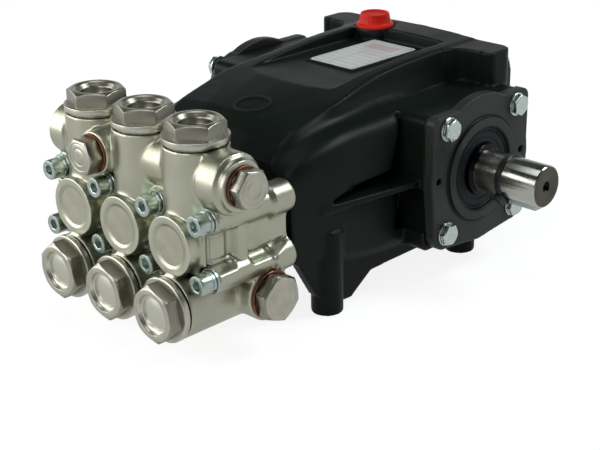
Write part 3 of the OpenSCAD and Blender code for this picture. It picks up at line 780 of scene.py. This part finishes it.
def head_guard(at):
    """Keeps the seats of the screws, plugs and washers of the head crisp."""
    weight = np.ones(len(at))
    for i in range(8):
        x, z = screw_place(i)
        near = fade(np.hypot(at[:, 0] - x, at[:, 2] - z), 8.6, 10.4)
        weight *= np.where(at[:, 1] < SEAT_Y + 1.5, near, 1.0)
    for i in range(3):
        x = (i - 1) * PITCH
        top = (np.hypot(at[:, 0] - x, at[:, 1] - TOWER_Y) < PLUG_SEAT_R) & (at[:, 2] > TOWER_TOP - 16)
        front = (np.hypot(at[:, 0] - x, at[:, 2] - SUCTION_Z) < PLUG_SEAT_R) & (at[:, 1] < SUCTION_Y + 16)
        disc = (np.hypot(at[:, 0] - x, at[:, 2] - AXIS_Z) < BARREL_D / 2 + 0.8) & (at[:, 1] < BARREL_Y + 1.5)
        weight[top | front | disc] = 0.05
    weight[at[:, 1] > -109.0] = 0.1
    panel = (np.abs(at[:, 0]) > 58.0) & (np.abs(at[:, 2] - AXIS_Z) < 25.0) & (at[:, 1] > -168.0)
    weight[panel] *= 0.10
    return weight


def flank_guard(at):
    """Only the rolled shoulder and the flank below it, on both sides."""
    side = np.abs(at[:, 0])
    weight = fade(side, 50.0, 55.0) * (1.0 - fade(side, 84.0, 88.0))
    weight *= fade(at[:, 1], -103.0, -99.0) * (1.0 - fade(at[:, 1], -14.0, -6.0))
    weight *= fade(at[:, 2], 84.0, 90.0) * (1.0 - fade(at[:, 2], 127.0, 130.0))
    return weight


def case_guard(at):
    """Keeps the faces that carry the covers, the head and the cap crisp."""
    weight = np.ones(len(at))
    weight[at[:, 0] > COVER_X - COVER_T - 1.2] = 0.1
    weight[at[:, 0] < -FAR_COVER_X + COVER_T + 1.2] = 0.1
    weight[at[:, 1] > CASE_REAR_Y - 1.0] = 0.1
    weight[at[:, 1] < -103.0] = 0.1
    cap = np.hypot(at[:, 0] - CAP[0], at[:, 1] - CAP[1]) < 14.0
    weight[cap & (at[:, 2] > 139.0)] = 0.1
    pad = (np.abs(at[:, 0]) < 23.0) & (np.abs(at[:, 1] - LABEL[1]) < 37.0)
    weight[pad & (at[:, 2] > 133.0) & (at[:, 2] < 137.0)] = 0.3
    return weight


# Castings

# Each relax step has its rounds, its share for hollows, its share for ridges and its guard.
SOFT_CORNERS = [(4, 0.5, 0.5)]
CASE_STEPS = [(3, 0.5, 0.5), (90, 0.6, 0.6, flank_guard), (4, 0.5, 0.0, case_guard), (2, 0.4, 0.4)]
HEAD_STEPS = [(4, 0.5, 0.5), (34, 0.5, 0.02, head_guard), (2, 0.4, 0.4)]
case_skin = cast_skin("crankcase_skin", "crankcase", "crankcase_black", voxel=0.85, faces=198000,
                      steps=CASE_STEPS)
cast_skin("pump_head_skin", "pump_head", "head_nickel", voxel=0.72, faces=196000, steps=HEAD_STEPS,
          carve=carve_sides)
cast_skin("bearing_cover_right_skin", "bearing_cover_right", "cover_black", voxel=0.55, faces=90000,
          steps=SOFT_CORNERS)
cast_skin("bearing_cover_left_skin", "bearing_cover_left", "cover_black", voxel=0.8, faces=50000,
          steps=SOFT_CORNERS, carve=round_front)
cast_skin("rear_cover_skin", "rear_cover", "cover_black", voxel=0.8, faces=60000, steps=SOFT_CORNERS)


# Valve plugs

VALVE_AF = 32.5
VALVE_COLLAR = [(14.9, -15.4), (15.0, -6.2), (18.4, -5.6), (18.5, -4.2), (20.0, -4.1), (20.4, -3.8),
                (20.5, -3.4), (20.5, -0.8), (20.35, -0.35), (19.9, -0.06), (19.0, 0.0)]
OPEN_BOWL = [(13.9, 0.0), (13.4, -0.12), (12.8, -0.5), (12.1, -1.3), (11.4, -2.2), (10.9, -2.7), (10.6, -3.1),
             (10.45, -3.8), (10.4, -6.6), (10.2, -7.0), (9.6, -7.15), (8.0, -7.2), (7.7, -7.6), (4.0, -7.6)]
DOMED_BOWL = [(13.2, 0.0), (12.8, -0.15), (12.4, -0.7), (12.1, -1.8), (11.7, -2.6), (11.1, -2.95),
              (10.3, -2.9), (9.2, -2.6), (7.4, -2.15), (5.0, -1.85), (2.2, -1.7)]


def valve_plug_mesh(name, bowl):
    """Collar and hexagon of a valve plug, with a bowl sunk in its face."""
    angles, rings = hex_rings(VALVE_AF, VALVE_HEX_H, 0.7, 15.7, 0.3)
    sunk = [(r, VALVE_HEX_H + z) for r, z in bowl]
    return grid_mesh(name, stack(angles, VALVE_COLLAR) + rings + stack(angles, sunk))


delivery_mesh = valve_plug_mesh("delivery_plug", OPEN_BOWL)
suction_mesh = valve_plug_mesh("suction_plug", DOMED_BOWL)
for i in range(3):
    x = (i - 1) * PITCH
    piece("delivery_plug_%d" % (i + 1), delivery_mesh, "plug_nickel", look=VALVE_LOOK,
          at=(x, TOWER_Y, TOWER_TOP - VALVE_HEX_H), turn=face_to((0, 0, 1), 12),
          stands_for=("delivery_valve_plug_%d" % (i + 1),))
    piece("suction_plug_%d" % (i + 1), suction_mesh, "plug_nickel", look=DOME_LOOK,
          at=(x, SUCTION_Y + VALVE_HEX_H, SUCTION_Z), turn=face_to((0, -1, 0), 11),
          stands_for=("suction_valve_plug_%d" % (i + 1),))


# Barrel ends: turned faces with a shallow dish

disc_r = BARREL_D / 2
barrel_mesh = lathe("barrel_face", [
    (disc_r + 0.05, -9.0), (disc_r + 0.05, -0.7), (disc_r - 0.1, -0.25), (disc_r - 0.45, 0.0), (14.9, 0.0),
    (14.5, -0.08), (13.9, -0.45), (13.4, -0.85), (13.0, -1.0), (12.0, -1.05), (6.0, -0.95), (2.0, -0.9)
], close_start=False)
for i in range(3):
    piece("barrel_face_%d" % (i + 1), barrel_mesh, "head_nickel", look=DISC_NICKEL,
          at=((i - 1) * PITCH, BARREL_Y, AXIS_Z), turn=face_to((0, -1, 0)))


# Socket screws with spring washer and flat washer

def socket_screw_mesh(socket_af):
    """A round head with a hexagon sunk in its top, and the shank under it."""
    angles, hex_r = hexagon(socket_af, 0.25)
    head = [(3.9, -16.0), (4.0, -4.0), (5.9, -4.0), (6.2, -3.6), (6.5, -0.2)]
    head += [(6.5, 7.0), (6.4, 7.45), (6.1, 7.85), (5.7, 8.0), (4.5, 8.0)]
    rings = stack(angles, head)
    rings.append(ring(angles, hex_r + 0.5, 7.95))
    rings.append(ring(angles, hex_r + 0.05, 7.55))
    rings.append(ring(angles, hex_r, 7.2))
    rings.append(ring(angles, hex_r, 3.6))
    rings.append(ring(angles, hex_r * 0.6, 3.0))
    return grid_mesh("socket_screw", rings)


def split_washer_mesh(name, r0, r1, t, rise):
    """A spring washer that climbs by its rise from one end of the gap to the other."""
    steps = 72
    rings = []
    for k in range(steps + 1):
        a = 8 * DEG + k * (344 * DEG) / steps
        z = rise * (k / steps - 0.5)
        box = [(r0, z), (r0, z + t), (r0 + 0.15, z + t + 0.1), (r1 - 0.2, z + t + 0.1), (r1, z + t - 0.1),
               (r1, z + 0.1), (r1 - 0.2, z - 0.1), (r0 + 0.15, z - 0.1)]
        rings.append(np.array([(r * math.cos(a), r * math.sin(a), h) for r, h in box]))
    return grid_mesh(name, rings)


def flat_washer_mesh(name, r0, r1, t):
    edge = min(0.25, 0.3 * t)
    return tube(name, [(r0, 0.0), (r1 - edge, 0.0), (r1, edge), (r1, t - edge), (r1 - edge, t),
                       (r0 + edge, t), (r0, t - edge), (r0, 0.0)])


screw_mesh = socket_screw_mesh(socket_af=6.0)
spring_mesh = split_washer_mesh("spring_washer", 4.2, 7.0, t=1.7, rise=0.25)
washer_mesh = flat_washer_mesh("flat_washer", 4.1, 8.0, t=1.5)
for i in range(8):
    x, z = screw_place(i)
    piece("socket_screw_%d" % (i + 1), screw_mesh, "screw_zinc", at=(x, SEAT_Y - SCREW_STACK, z),
          turn=face_to((0, -1, 0), 12 + 19 * i), stands_for=("head_screw_%d" % (i + 1),))
    piece("spring_washer_%d" % (i + 1), spring_mesh, "screw_zinc", at=(x, SEAT_Y - SPRING_MIDDLE, z),
          turn=face_to((0, -1, 0), 47 * i))
    piece("flat_washer_%d" % (i + 1), washer_mesh, "screw_zinc", at=(x, SEAT_Y, z), turn=face_to((0, -1, 0)))


# Hexagon bolts of the covers

def hex_bolt_mesh(name, af, head_h, shank_r, shank_h, washer_t):
    """A hexagon head on its washer, with the top of its shank."""
    angles, rings = hex_rings(af, head_h - washer_t, 0.35, af * 0.475, 0.25, af * 0.49)
    rings = [r + np.array([0.0, 0.0, washer_t]) for r in rings]
    disc = af * 0.61
    base = [(shank_r, -shank_h), (shank_r, 0.0), (disc - 0.2, 0.0), (disc, 0.2), (disc, washer_t - 0.25),
            (disc - 0.25, washer_t)]
    rings = stack(angles, base) + rings
    rings.append(ring(angles, af * 0.40, head_h))
    rings.append(ring(angles, af * 0.22, head_h - 0.15))
    return grid_mesh(name, rings)


bolt_mesh = hex_bolt_mesh("hex_bolt", af=13.0, head_h=5.3, shank_r=4.0, shank_h=10.0, washer_t=1.2)
for side, label, face in ((1, "right", COVER_X), (-1, "left", -FAR_COVER_X)):
    for i in range(4):
        y = CRANK_Y + (-BOLT_HALF if i % 2 == 0 else BOLT_HALF)
        z = AXIS_Z + (BOLT_HALF if i < 2 else -BOLT_HALF)
        piece("cover_bolt_%s_head_%d" % (label, i + 1), bolt_mesh, "bolt_zinc", at=(face, y, z),
              turn=face_to((side, 0, 0), 17 * (i + 1) + 30),
              stands_for=("cover_bolt_%s_%d" % (label, i + 1),))
for i in range(4):
    x = -REAR_BOLT_X if i % 2 == 0 else REAR_BOLT_X
    z = REAR_COVER_Z + (REAR_BOLT_DZ if i < 2 else -REAR_BOLT_DZ)
    piece("rear_cover_bolt_head_%d" % (i + 1), bolt_mesh, "bolt_zinc", at=(x, CASE_REAR_Y + REAR_COVER_T, z),
          turn=face_to((0, 1, 0), 23 * i + 30), stands_for=("rear_cover_bolt_%d" % (i + 1),))


# Port plugs on copper washers

# Two fine turned rings on the face of a plug, as shares of its width, with their heights.
FACE_RINGS = ((0.42, 0.0), (0.405, -0.2), (0.39, -0.03), (0.26, 0.0), (0.245, -0.2), (0.23, -0.03),
              (0.1, 0.0))


def port_plug_mesh(name, af, hex_h, washer_t, thread_r, thread_h, face_r):
    """A hexagon head with turned rings on its face, and the thread that reaches through its washer."""
    angles, rings = hex_rings(af, hex_h, 0.6, af * face_r, 0.35, af * 0.5)
    base = [(thread_r, -washer_t - thread_h), (thread_r, -0.2), (af * 0.46, -0.15)]
    face = [(af * r, hex_h + z) for r, z in FACE_RINGS]
    return grid_mesh(name, stack(angles, base) + rings + stack(angles, face))


outlet_mesh = port_plug_mesh("outlet_port_plug", 22, OUTLET_HEX_H, OUTLET_WASHER_T, thread_r=6.4, thread_h=10,
                             face_r=0.475)
inlet_mesh = port_plug_mesh("inlet_port_plug", 27, INLET_HEX_H, INLET_WASHER_T, thread_r=8.9, thread_h=12,
                            face_r=0.47)
front_mesh = port_plug_mesh("front_port_plug", 21, FRONT_HEX_H, FRONT_WASHER_T, thread_r=5.9, thread_h=8,
                            face_r=0.465)

# Each port has its mesh and look, the middle of its seat, the way it faces, its spin and its washer's sizes.
PORTS = (
    ("outlet", outlet_mesh, OUTLET_LOOK, (OUTLET_BOSS_X, TOWER_Y, OUTLET_Z), (1, 0, 0), 20,
     (6.6, 12.6, OUTLET_WASHER_T)),
    ("inlet", inlet_mesh, INLET_LOOK, (INLET_BOSS_X, INLET_Y, SUCTION_Z), (1, 0, 0), 10,
     (9.1, 15.4, INLET_WASHER_T)),
    ("front", front_mesh, FRONT_LOOK, (FRONT_BOSS_X, FRONT_BOSS_Y, OUTLET_Z), (0, -1, 0), 30,
     (6.1, 12.4, FRONT_WASHER_T)),
)
for port, mesh, look, seat, way, spin, washer in PORTS:
    piece(port + "_plug_head", mesh, "plug_nickel", look=look, at=Vector(seat) + Vector(way) * washer[2],
          turn=face_to(way, spin), stands_for=(port + "_plug",))
for port, mesh, look, seat, way, spin, washer in PORTS:
    piece(port + "_seal_ring", flat_washer_mesh(port + "_seal_ring", *washer), "washer_copper", at=seat,
          turn=face_to(way), stands_for=(port + "_washer",))


# Oil seal, drive shaft, key and cable tie

seal_mesh = tube("lip_seal", [
    (17.6, -7.0), (27.9, -7.0), (27.95, 0.1), (27.7, 0.45), (26.9, 0.5), (26.5, 0.3), (26.2, -0.2),
    (25.8, -0.3), (25.4, -0.1), (25.0, 0.25), (21.5, 0.3), (21.2, 0.05), (20.8, -0.1), (20.4, 0.1),
    (20.0, 0.4), (18.7, 0.5), (18.2, 0.5), (17.8, 0.3), (17.62, -0.2), (17.6, -7.0)])
piece("lip_seal", seal_mesh, "seal_rubber", at=(COVER_X, CRANK_Y, AXIS_Z), turn=face_to((1, 0, 0)),
      stands_for=("oil_seal",))

# The shaft, from its far end along the journal and the shaft end to the tapped centre hole.
FINE_ROUND = np.arange(0, 360, 2.5) * DEG
back_end = FAR_COVER_X + COVER_X - 3.0
shaft_profile = [(16.9, -back_end), (17.5, -back_end + 0.6), (17.5, 3.5), (17.2, 3.9), (16.6, 4.0)]
shaft_profile += [(14.9, 4.0), (14.3, 4.15), (SHAFT_R, 4.6), (SHAFT_R, 5.4), (SHAFT_R, 28.0), (SHAFT_R, 51.2)]
shaft_profile += [(13.85, 51.6), (13.1, 52.3), (12.9, 52.3), (4.1, 52.3), (3.9, 52.2), (3.5, 51.8)]
for k in range(7):
    shaft_profile += [(3.5, 51.4 - k), (3.15, 50.9 - k)]
shaft_profile += [(3.3, 42.0), (3.3, 34.0), (0.6, 32.4)]
piece("drive_shaft", lathe("drive_shaft", shaft_profile, FINE_ROUND), "shaft_steel", body="crank",
      at=(COVER_X, CRANK_Y, AXIS_Z), turn=face_to((1, 0, 0)), stands_for=("crankshaft",))


def inset(outline, amount):
    """Moves a convex outline inwards by an amount."""
    before = np.roll(outline, 1, axis=0)
    after = np.roll(outline, -1, axis=0)
    run = after - before
    run /= np.linalg.norm(run, axis=1)[:, None]
    return outline + amount * np.stack([-run[:, 1], run[:, 0]], axis=1)


def round_box(w, h, r, steps=6):
    """Outline of a rectangle with round corners, counterclockwise."""
    pts = []
    for cx, cy, start in ((1, 1, 0), (-1, 1, 90), (-1, -1, 180), (1, -1, 270)):
        for k in range(steps + 1):
            a = (start + 90.0 * k / steps) * DEG
            pts.append((cx * (w / 2 - r) + r * math.cos(a), cy * (h / 2 - r) + r * math.sin(a)))
    return np.array(pts)


def slab(name, outline, levels):
    """A plate through insets of one outline: levels are (inset, height) from its foot to its top."""
    rings = []
    for amount, z in levels:
        flat = inset(outline, amount)
        rings.append(np.column_stack([flat, np.full(len(flat), z)]))
    return grid_mesh(name, rings)


key_mesh = slab("parallel_key", round_box(KEY_L, KEY_W, 1.2), [
    (0.0, 0.0), (0.0, 6.2), (0.15, 6.6), (0.5, 6.95), (0.9, 7.0), (2.0, 7.0)])
piece("parallel_key", key_mesh, "key_steel", body="crank",
      at=(KEY_X0 + KEY_L / 2, CRANK_Y, AXIS_Z - KEY_DEPTH), turn=Matrix.Rotation(math.pi, 3, "X"),
      stands_for=("shaft_key",))


def tie_band_mesh():
    """The band of the cable tie: round the shaft and straight over the key."""
    corner = math.atan2(KEY_W / 2, SHAFT_R + KEY_RISE)
    far = math.hypot(KEY_W / 2, SHAFT_R + KEY_RISE)
    touch = corner + math.acos(SHAFT_R / far)
    rings = []
    for k in range(180):
        a = k * 2.0 * DEG
        off = abs((a + math.pi) % (2 * math.pi) - math.pi)
        if off <= corner:
            r = (SHAFT_R + KEY_RISE) / math.cos(off)
        elif off <= touch:
            r = SHAFT_R / math.cos(touch - off)
        else:
            r = SHAFT_R
        r0 = r + 0.02
        r1 = r + 1.3
        box = [(r0, 0.3), (r0, 3.7), (r0 + 0.25, 4.0), (r1 - 0.3, 4.0), (r1, 3.6), (r1, 2.9), (r1 - 0.2, 2.7),
               (r1 - 0.2, 1.3), (r1, 1.1), (r1, 0.4), (r1 - 0.3, 0.0), (r0 + 0.25, 0.0)]
        rings.append(np.array([(p * math.cos(a), p * math.sin(a), h) for p, h in box]))
    rings.append(rings[0])
    return grid_mesh("tie_band", rings, close_start=False, close_end=False)


down = Matrix(((0, 0, 1), (0, 1, 0), (-1, 0, 0)))
piece("tie_band", tie_band_mesh(), "tie_plastic", body="crank", at=(TIE_X, CRANK_Y, AXIS_Z), turn=down,
      stands_for=("cable_tie",))
head_mesh = slab("tie_head", round_box(6.0, 8.0, 0.9), [
    (0.5, 0.0), (0.0, 0.5), (0.0, 3.6), (0.2, 4.05), (0.6, 4.3), (1.2, 4.3), (1.4, 4.1), (1.5, 3.4),
    (2.0, 3.3)])
TIE_LEAN = 38 * DEG
aim = Vector((0.0, -math.sin(TIE_LEAN), -math.cos(TIE_LEAN)))
side_way = Vector((1.0, 0.0, 0.0))
tie_turn = Matrix((side_way, aim.cross(side_way), aim)).transposed()
spot = Vector((TIE_X + 2.0, CRANK_Y, AXIS_Z)) + aim * (SHAFT_R + 0.6)
piece("tie_head", head_mesh, "tie_plastic", body="crank", at=spot, turn=tie_turn)


# Filler cap on its gasket, and the blank label

CAP_FLANGE = [(8.0, -12.0), (8.0, 1.45), (12.6, 1.5), (13.25, 1.65), (13.5, 2.1), (13.5, 3.2), (13.25, 3.7),
              (12.7, 3.9), (12.3, 4.1), (11.9, 4.4), (11.6, 4.7)]
CAP_GRIP = ((11.45, 5.0, 0.0), (11.4, 5.4, 0.22), (10.55, 9.9, 0.22), (10.45, 10.3, 0.0))
CAP_TOP = [(10.4, 10.7), (10.2, 11.15), (9.85, 11.3), (9.3, 11.3), (9.0, 11.1), (8.85, 10.3), (8.6, 10.05),
           (6.6, 10.0), (6.3, 10.25), (5.9, 10.25), (5.6, 10.0), (2.0, 10.0)]
CAP_RIBS = 24


def cap_mesh():
    """The filler cap: a flange, a grip with fine ribs and a sunk top."""
    angles = np.arange(0, 360, 1.5) * DEG
    ribs = 0.5 - 0.5 * np.cos(CAP_RIBS * angles)
    grip = [ring(angles, r - depth * ribs, z) for r, z, depth in CAP_GRIP]
    return grid_mesh("filler_cap", stack(angles, CAP_FLANGE) + grip + stack(angles, CAP_TOP))


piece("filler_cap", cap_mesh(), "cap_red", at=CAP, stands_for=("oil_filler_cap",))
gasket_mesh = tube("cap_gasket", [
    (8.1, -3.4), (12.2, -3.4), (12.75, -2.9), (13.0, -1.6), (13.05, 0.0), (12.85, 0.9), (12.5, 1.45),
    (8.1, 1.5), (8.1, -3.4)])
piece("cap_gasket", gasket_mesh, "seal_rubber", at=CAP)
label_mesh = slab("blank_label", round_box(39.4, 66.0, 2.0), [
    (0.0, 0.0), (0.0, 0.45), (0.15, 0.6), (1.0, 0.6)])
piece("blank_label", label_mesh, "plate_plain", at=LABEL, stands_for=("name_plate",))


# Oil level glass and drain plug on the rear cover

rear_y = CASE_REAR_Y + REAR_COVER_T
level_z = REAR_COVER_Z - 13
ring_mesh = tube("sight_ring", [
    (9.3, -3.0), (12.0, -3.0), (12.0, 0.0), (13.7, 0.0), (14.0, 0.3), (14.0, 2.3), (13.7, 2.8), (13.1, 3.0),
    (10.6, 3.0), (10.1, 2.7), (9.6, 1.9), (9.3, 1.8), (9.3, -3.0)])
piece("sight_ring", ring_mesh, "sight_glass", look=LOOKS["plug_nickel"], at=(0, rear_y, level_z),
      turn=face_to((0, 1, 0)))
dome_mesh = lathe("sight_dome", [
    (9.5, -3.0), (9.5, 1.6), (9.1, 1.85), (7.4, 2.2), (5.0, 2.45), (2.0, 2.6)])
piece("sight_dome", dome_mesh, "sight_glass", at=(0, rear_y, level_z), turn=face_to((0, 1, 0)),
      stands_for=("oil_level_glass",))
drain_mesh = hex_bolt_mesh("drain_plug", af=17.0, head_h=6.0, shank_r=7.0, shank_h=6.5, washer_t=0.8)
piece("drain_plug", drain_mesh, "plug_nickel", at=(0, rear_y, REAR_COVER_Z - 39), turn=face_to((0, 1, 0)),
      stands_for=("oil_drain_plug",))


# Plain oval ring moulded on the front of the deck

OVAL_MIDDLE = (6.2, -72.6)
OVAL_HALF = (12.0, 9.0)
OVAL_LEAN = 24.0 * DEG
OVAL_SECTION = ((-1.05, -0.5), (-1.05, 0.02), (-0.75, 0.7), (-0.35, 0.85), (0.35, 0.85), (0.75, 0.7),
                (1.05, 0.02), (1.05, -0.5))


def oval_ring_mesh(skin):
    """A low ring that follows the skin under it, found by rays from above."""
    bpy.context.view_layer.update()
    rings = []
    for k in range(96):
        a = k * 3.75 * DEG
        u = OVAL_HALF[0] * math.cos(a)
        v = OVAL_HALF[1] * math.sin(a)
        x = OVAL_MIDDLE[0] + u * math.cos(OVAL_LEAN) - v * math.sin(OVAL_LEAN)
        y = OVAL_MIDDLE[1] + u * math.sin(OVAL_LEAN) + v * math.cos(OVAL_LEAN)
        _, spot, normal, _ = skin.ray_cast(Vector((x, y, 200.0)) * MM, Vector((0, 0, -1)))
        spot = np.array(spot) / MM
        out = np.array((math.cos(a + OVAL_LEAN), math.sin(a + OVAL_LEAN), 0.0))
        out /= np.linalg.norm(out)
        up = np.array(normal)
        out -= up * out.dot(up)
        rings.append(np.array([spot + out * w + up * h for w, h in OVAL_SECTION]))
    rings.append(rings[0])
    return grid_mesh("oval_ring", rings, close_start=False, close_end=False)


piece("oval_ring", oval_ring_mesh(case_skin), "crankcase_black")


# Studio

PUMP_MIDDLE = (0.0, 0.0, 0.08)


def area(name, place_at, size, power, target=PUMP_MIDDLE, tint=(1, 1, 1)):
    """A rectangular lamp with its width and height, aimed at a target."""
    data = bpy.data.lights.new(name, "AREA")
    data.energy = power
    data.color = tint
    data.shape = "RECTANGLE"
    data.size = size[0]
    data.size_y = size[1]
    lamp = bpy.data.objects.new(name, data)
    lamp.location = place_at
    aim = Vector(target) - Vector(place_at)
    lamp.rotation_euler = aim.to_track_quat("-Z", "Y").to_euler()
    bpy.context.scene.collection.objects.link(lamp)


area("left", (-1.05, -1.15, 0.60), (1.8, 1.1), 16, target=(0, -0.08, 0.08))
area("front", (0.45, -1.65, 0.95), (0.9, 0.8), 7)
area("right", (0.72, 0.85, 1.25), (0.6, 0.6), 11, target=(0.05, 0.0, 0.08), tint=(0.88, 0.95, 1.0))
area("top", (0.0, -0.2, 1.4), (0.8, 0.8), 3, tint=(0.95, 0.98, 1.0))

# The sky is bright at the horizon and dark overhead, dimmer to the front right, and white to the camera.
SKY_LEVELS = [(0.0, 0.85), (0.24, 0.50), (0.385, 0.50), (0.46, 0.14), (0.58, 0.03), (1.0, 0.03)]
FRONT_RIGHT = (0.7071, -0.7071, 0.0)
FRONT_RIGHT_DIM = 0.3
DIFFUSE_SHARE = 0.55
world = bpy.data.worlds.new("studio")
bpy.context.scene.world = world
world.use_nodes = True
sky = Tree(world.node_tree)
paths = sky.add("ShaderNodeLightPath")
where = sky.add("ShaderNodeTexCoord")
split = sky.add("ShaderNodeSeparateXYZ")
sky.link(where.outputs["Generated"], split.inputs[0])
rise = sky.ramp(split.outputs[2], [(place_z, (level, level, level)) for place_z, level in SKY_LEVELS])
across = sky.add("ShaderNodeVectorMath", operation="DOT_PRODUCT")
sky.link(where.outputs["Generated"], across.inputs[0])
across.inputs[1].default_value = FRONT_RIGHT
shade = sky.math("MULTIPLY", rise, sky.span(across.outputs["Value"], 0.25, 0.95, 1.0, FRONT_RIGHT_DIM))
seen = sky.math("MAXIMUM", paths.outputs["Is Glossy Ray"], paths.outputs["Is Transmission Ray"])
level = sky.math("MULTIPLY", shade, sky.span(seen, 0.0, 1.0, DIFFUSE_SHARE, 1.0))
pick = sky.add("ShaderNodeMix", data_type="FLOAT")
sky.link(paths.outputs["Is Camera Ray"], pick.inputs[0])
sky.link(level, pick.inputs[2])
pick.inputs[3].default_value = 1.0
back = world.node_tree.nodes["Background"]
back.inputs["Color"].default_value = (1, 1, 1, 1)
sky.link(pick.outputs[0], back.inputs["Strength"])

# The floor is white to the camera and in reflections, and keeps the pump's shadow there.
FLOOR_HALF = 6.0
FLOOR_TONE = (0.85, 0.85, 0.85)
SHADOW_TONE = (0.26, 0.26, 0.26, 1.0)
GLOW_IN_REFLECTIONS = 0.45
GLOW_TO_CAMERA = 0.87
floor_mesh = bpy.data.meshes.new("floor")
floor_mesh.from_pydata([(i * FLOOR_HALF, j * FLOOR_HALF, 0) for i, j in ((-1, -1), (1, -1), (1, 1), (-1, 1))],
                       [], [(0, 1, 2, 3)])
floor = bpy.data.objects.new("floor", floor_mesh)
bpy.context.scene.collection.objects.link(floor)
ground = Net("floor")
ground.finish(FLOOR_TONE, 0.8)
pale = ground.add("ShaderNodeBsdfDiffuse")
pale.inputs["Color"].default_value = SHADOW_TONE
glow = ground.add("ShaderNodeEmission")
glow.inputs["Color"].default_value = (1, 1, 1, 1)
rays = ground.add("ShaderNodeLightPath").outputs
strength = ground.span(rays["Is Camera Ray"], 0.0, 1.0, GLOW_IN_REFLECTIONS, GLOW_TO_CAMERA)
ground.link(strength, glow.inputs["Strength"])
both = ground.add("ShaderNodeAddShader")
ground.link(pale.outputs[0], both.inputs[0])
ground.link(glow.outputs[0], both.inputs[1])
mirrored = ground.math("MAXIMUM", rays["Is Glossy Ray"], rays["Is Transmission Ray"])
choose = ground.add("ShaderNodeMixShader")
ground.link(ground.math("MAXIMUM", rays["Is Camera Ray"], mirrored), choose.inputs[0])
ground.link(ground.bsdf.outputs[0], choose.inputs[1])
ground.link(both.outputs[0], choose.inputs[2])
ground.link(choose.outputs[0], ground.tree.nodes["Material Output"].inputs["Surface"])
floor_mesh.materials.append(ground.mat)

bpy.context.scene.view_settings.view_transform = "Standard"
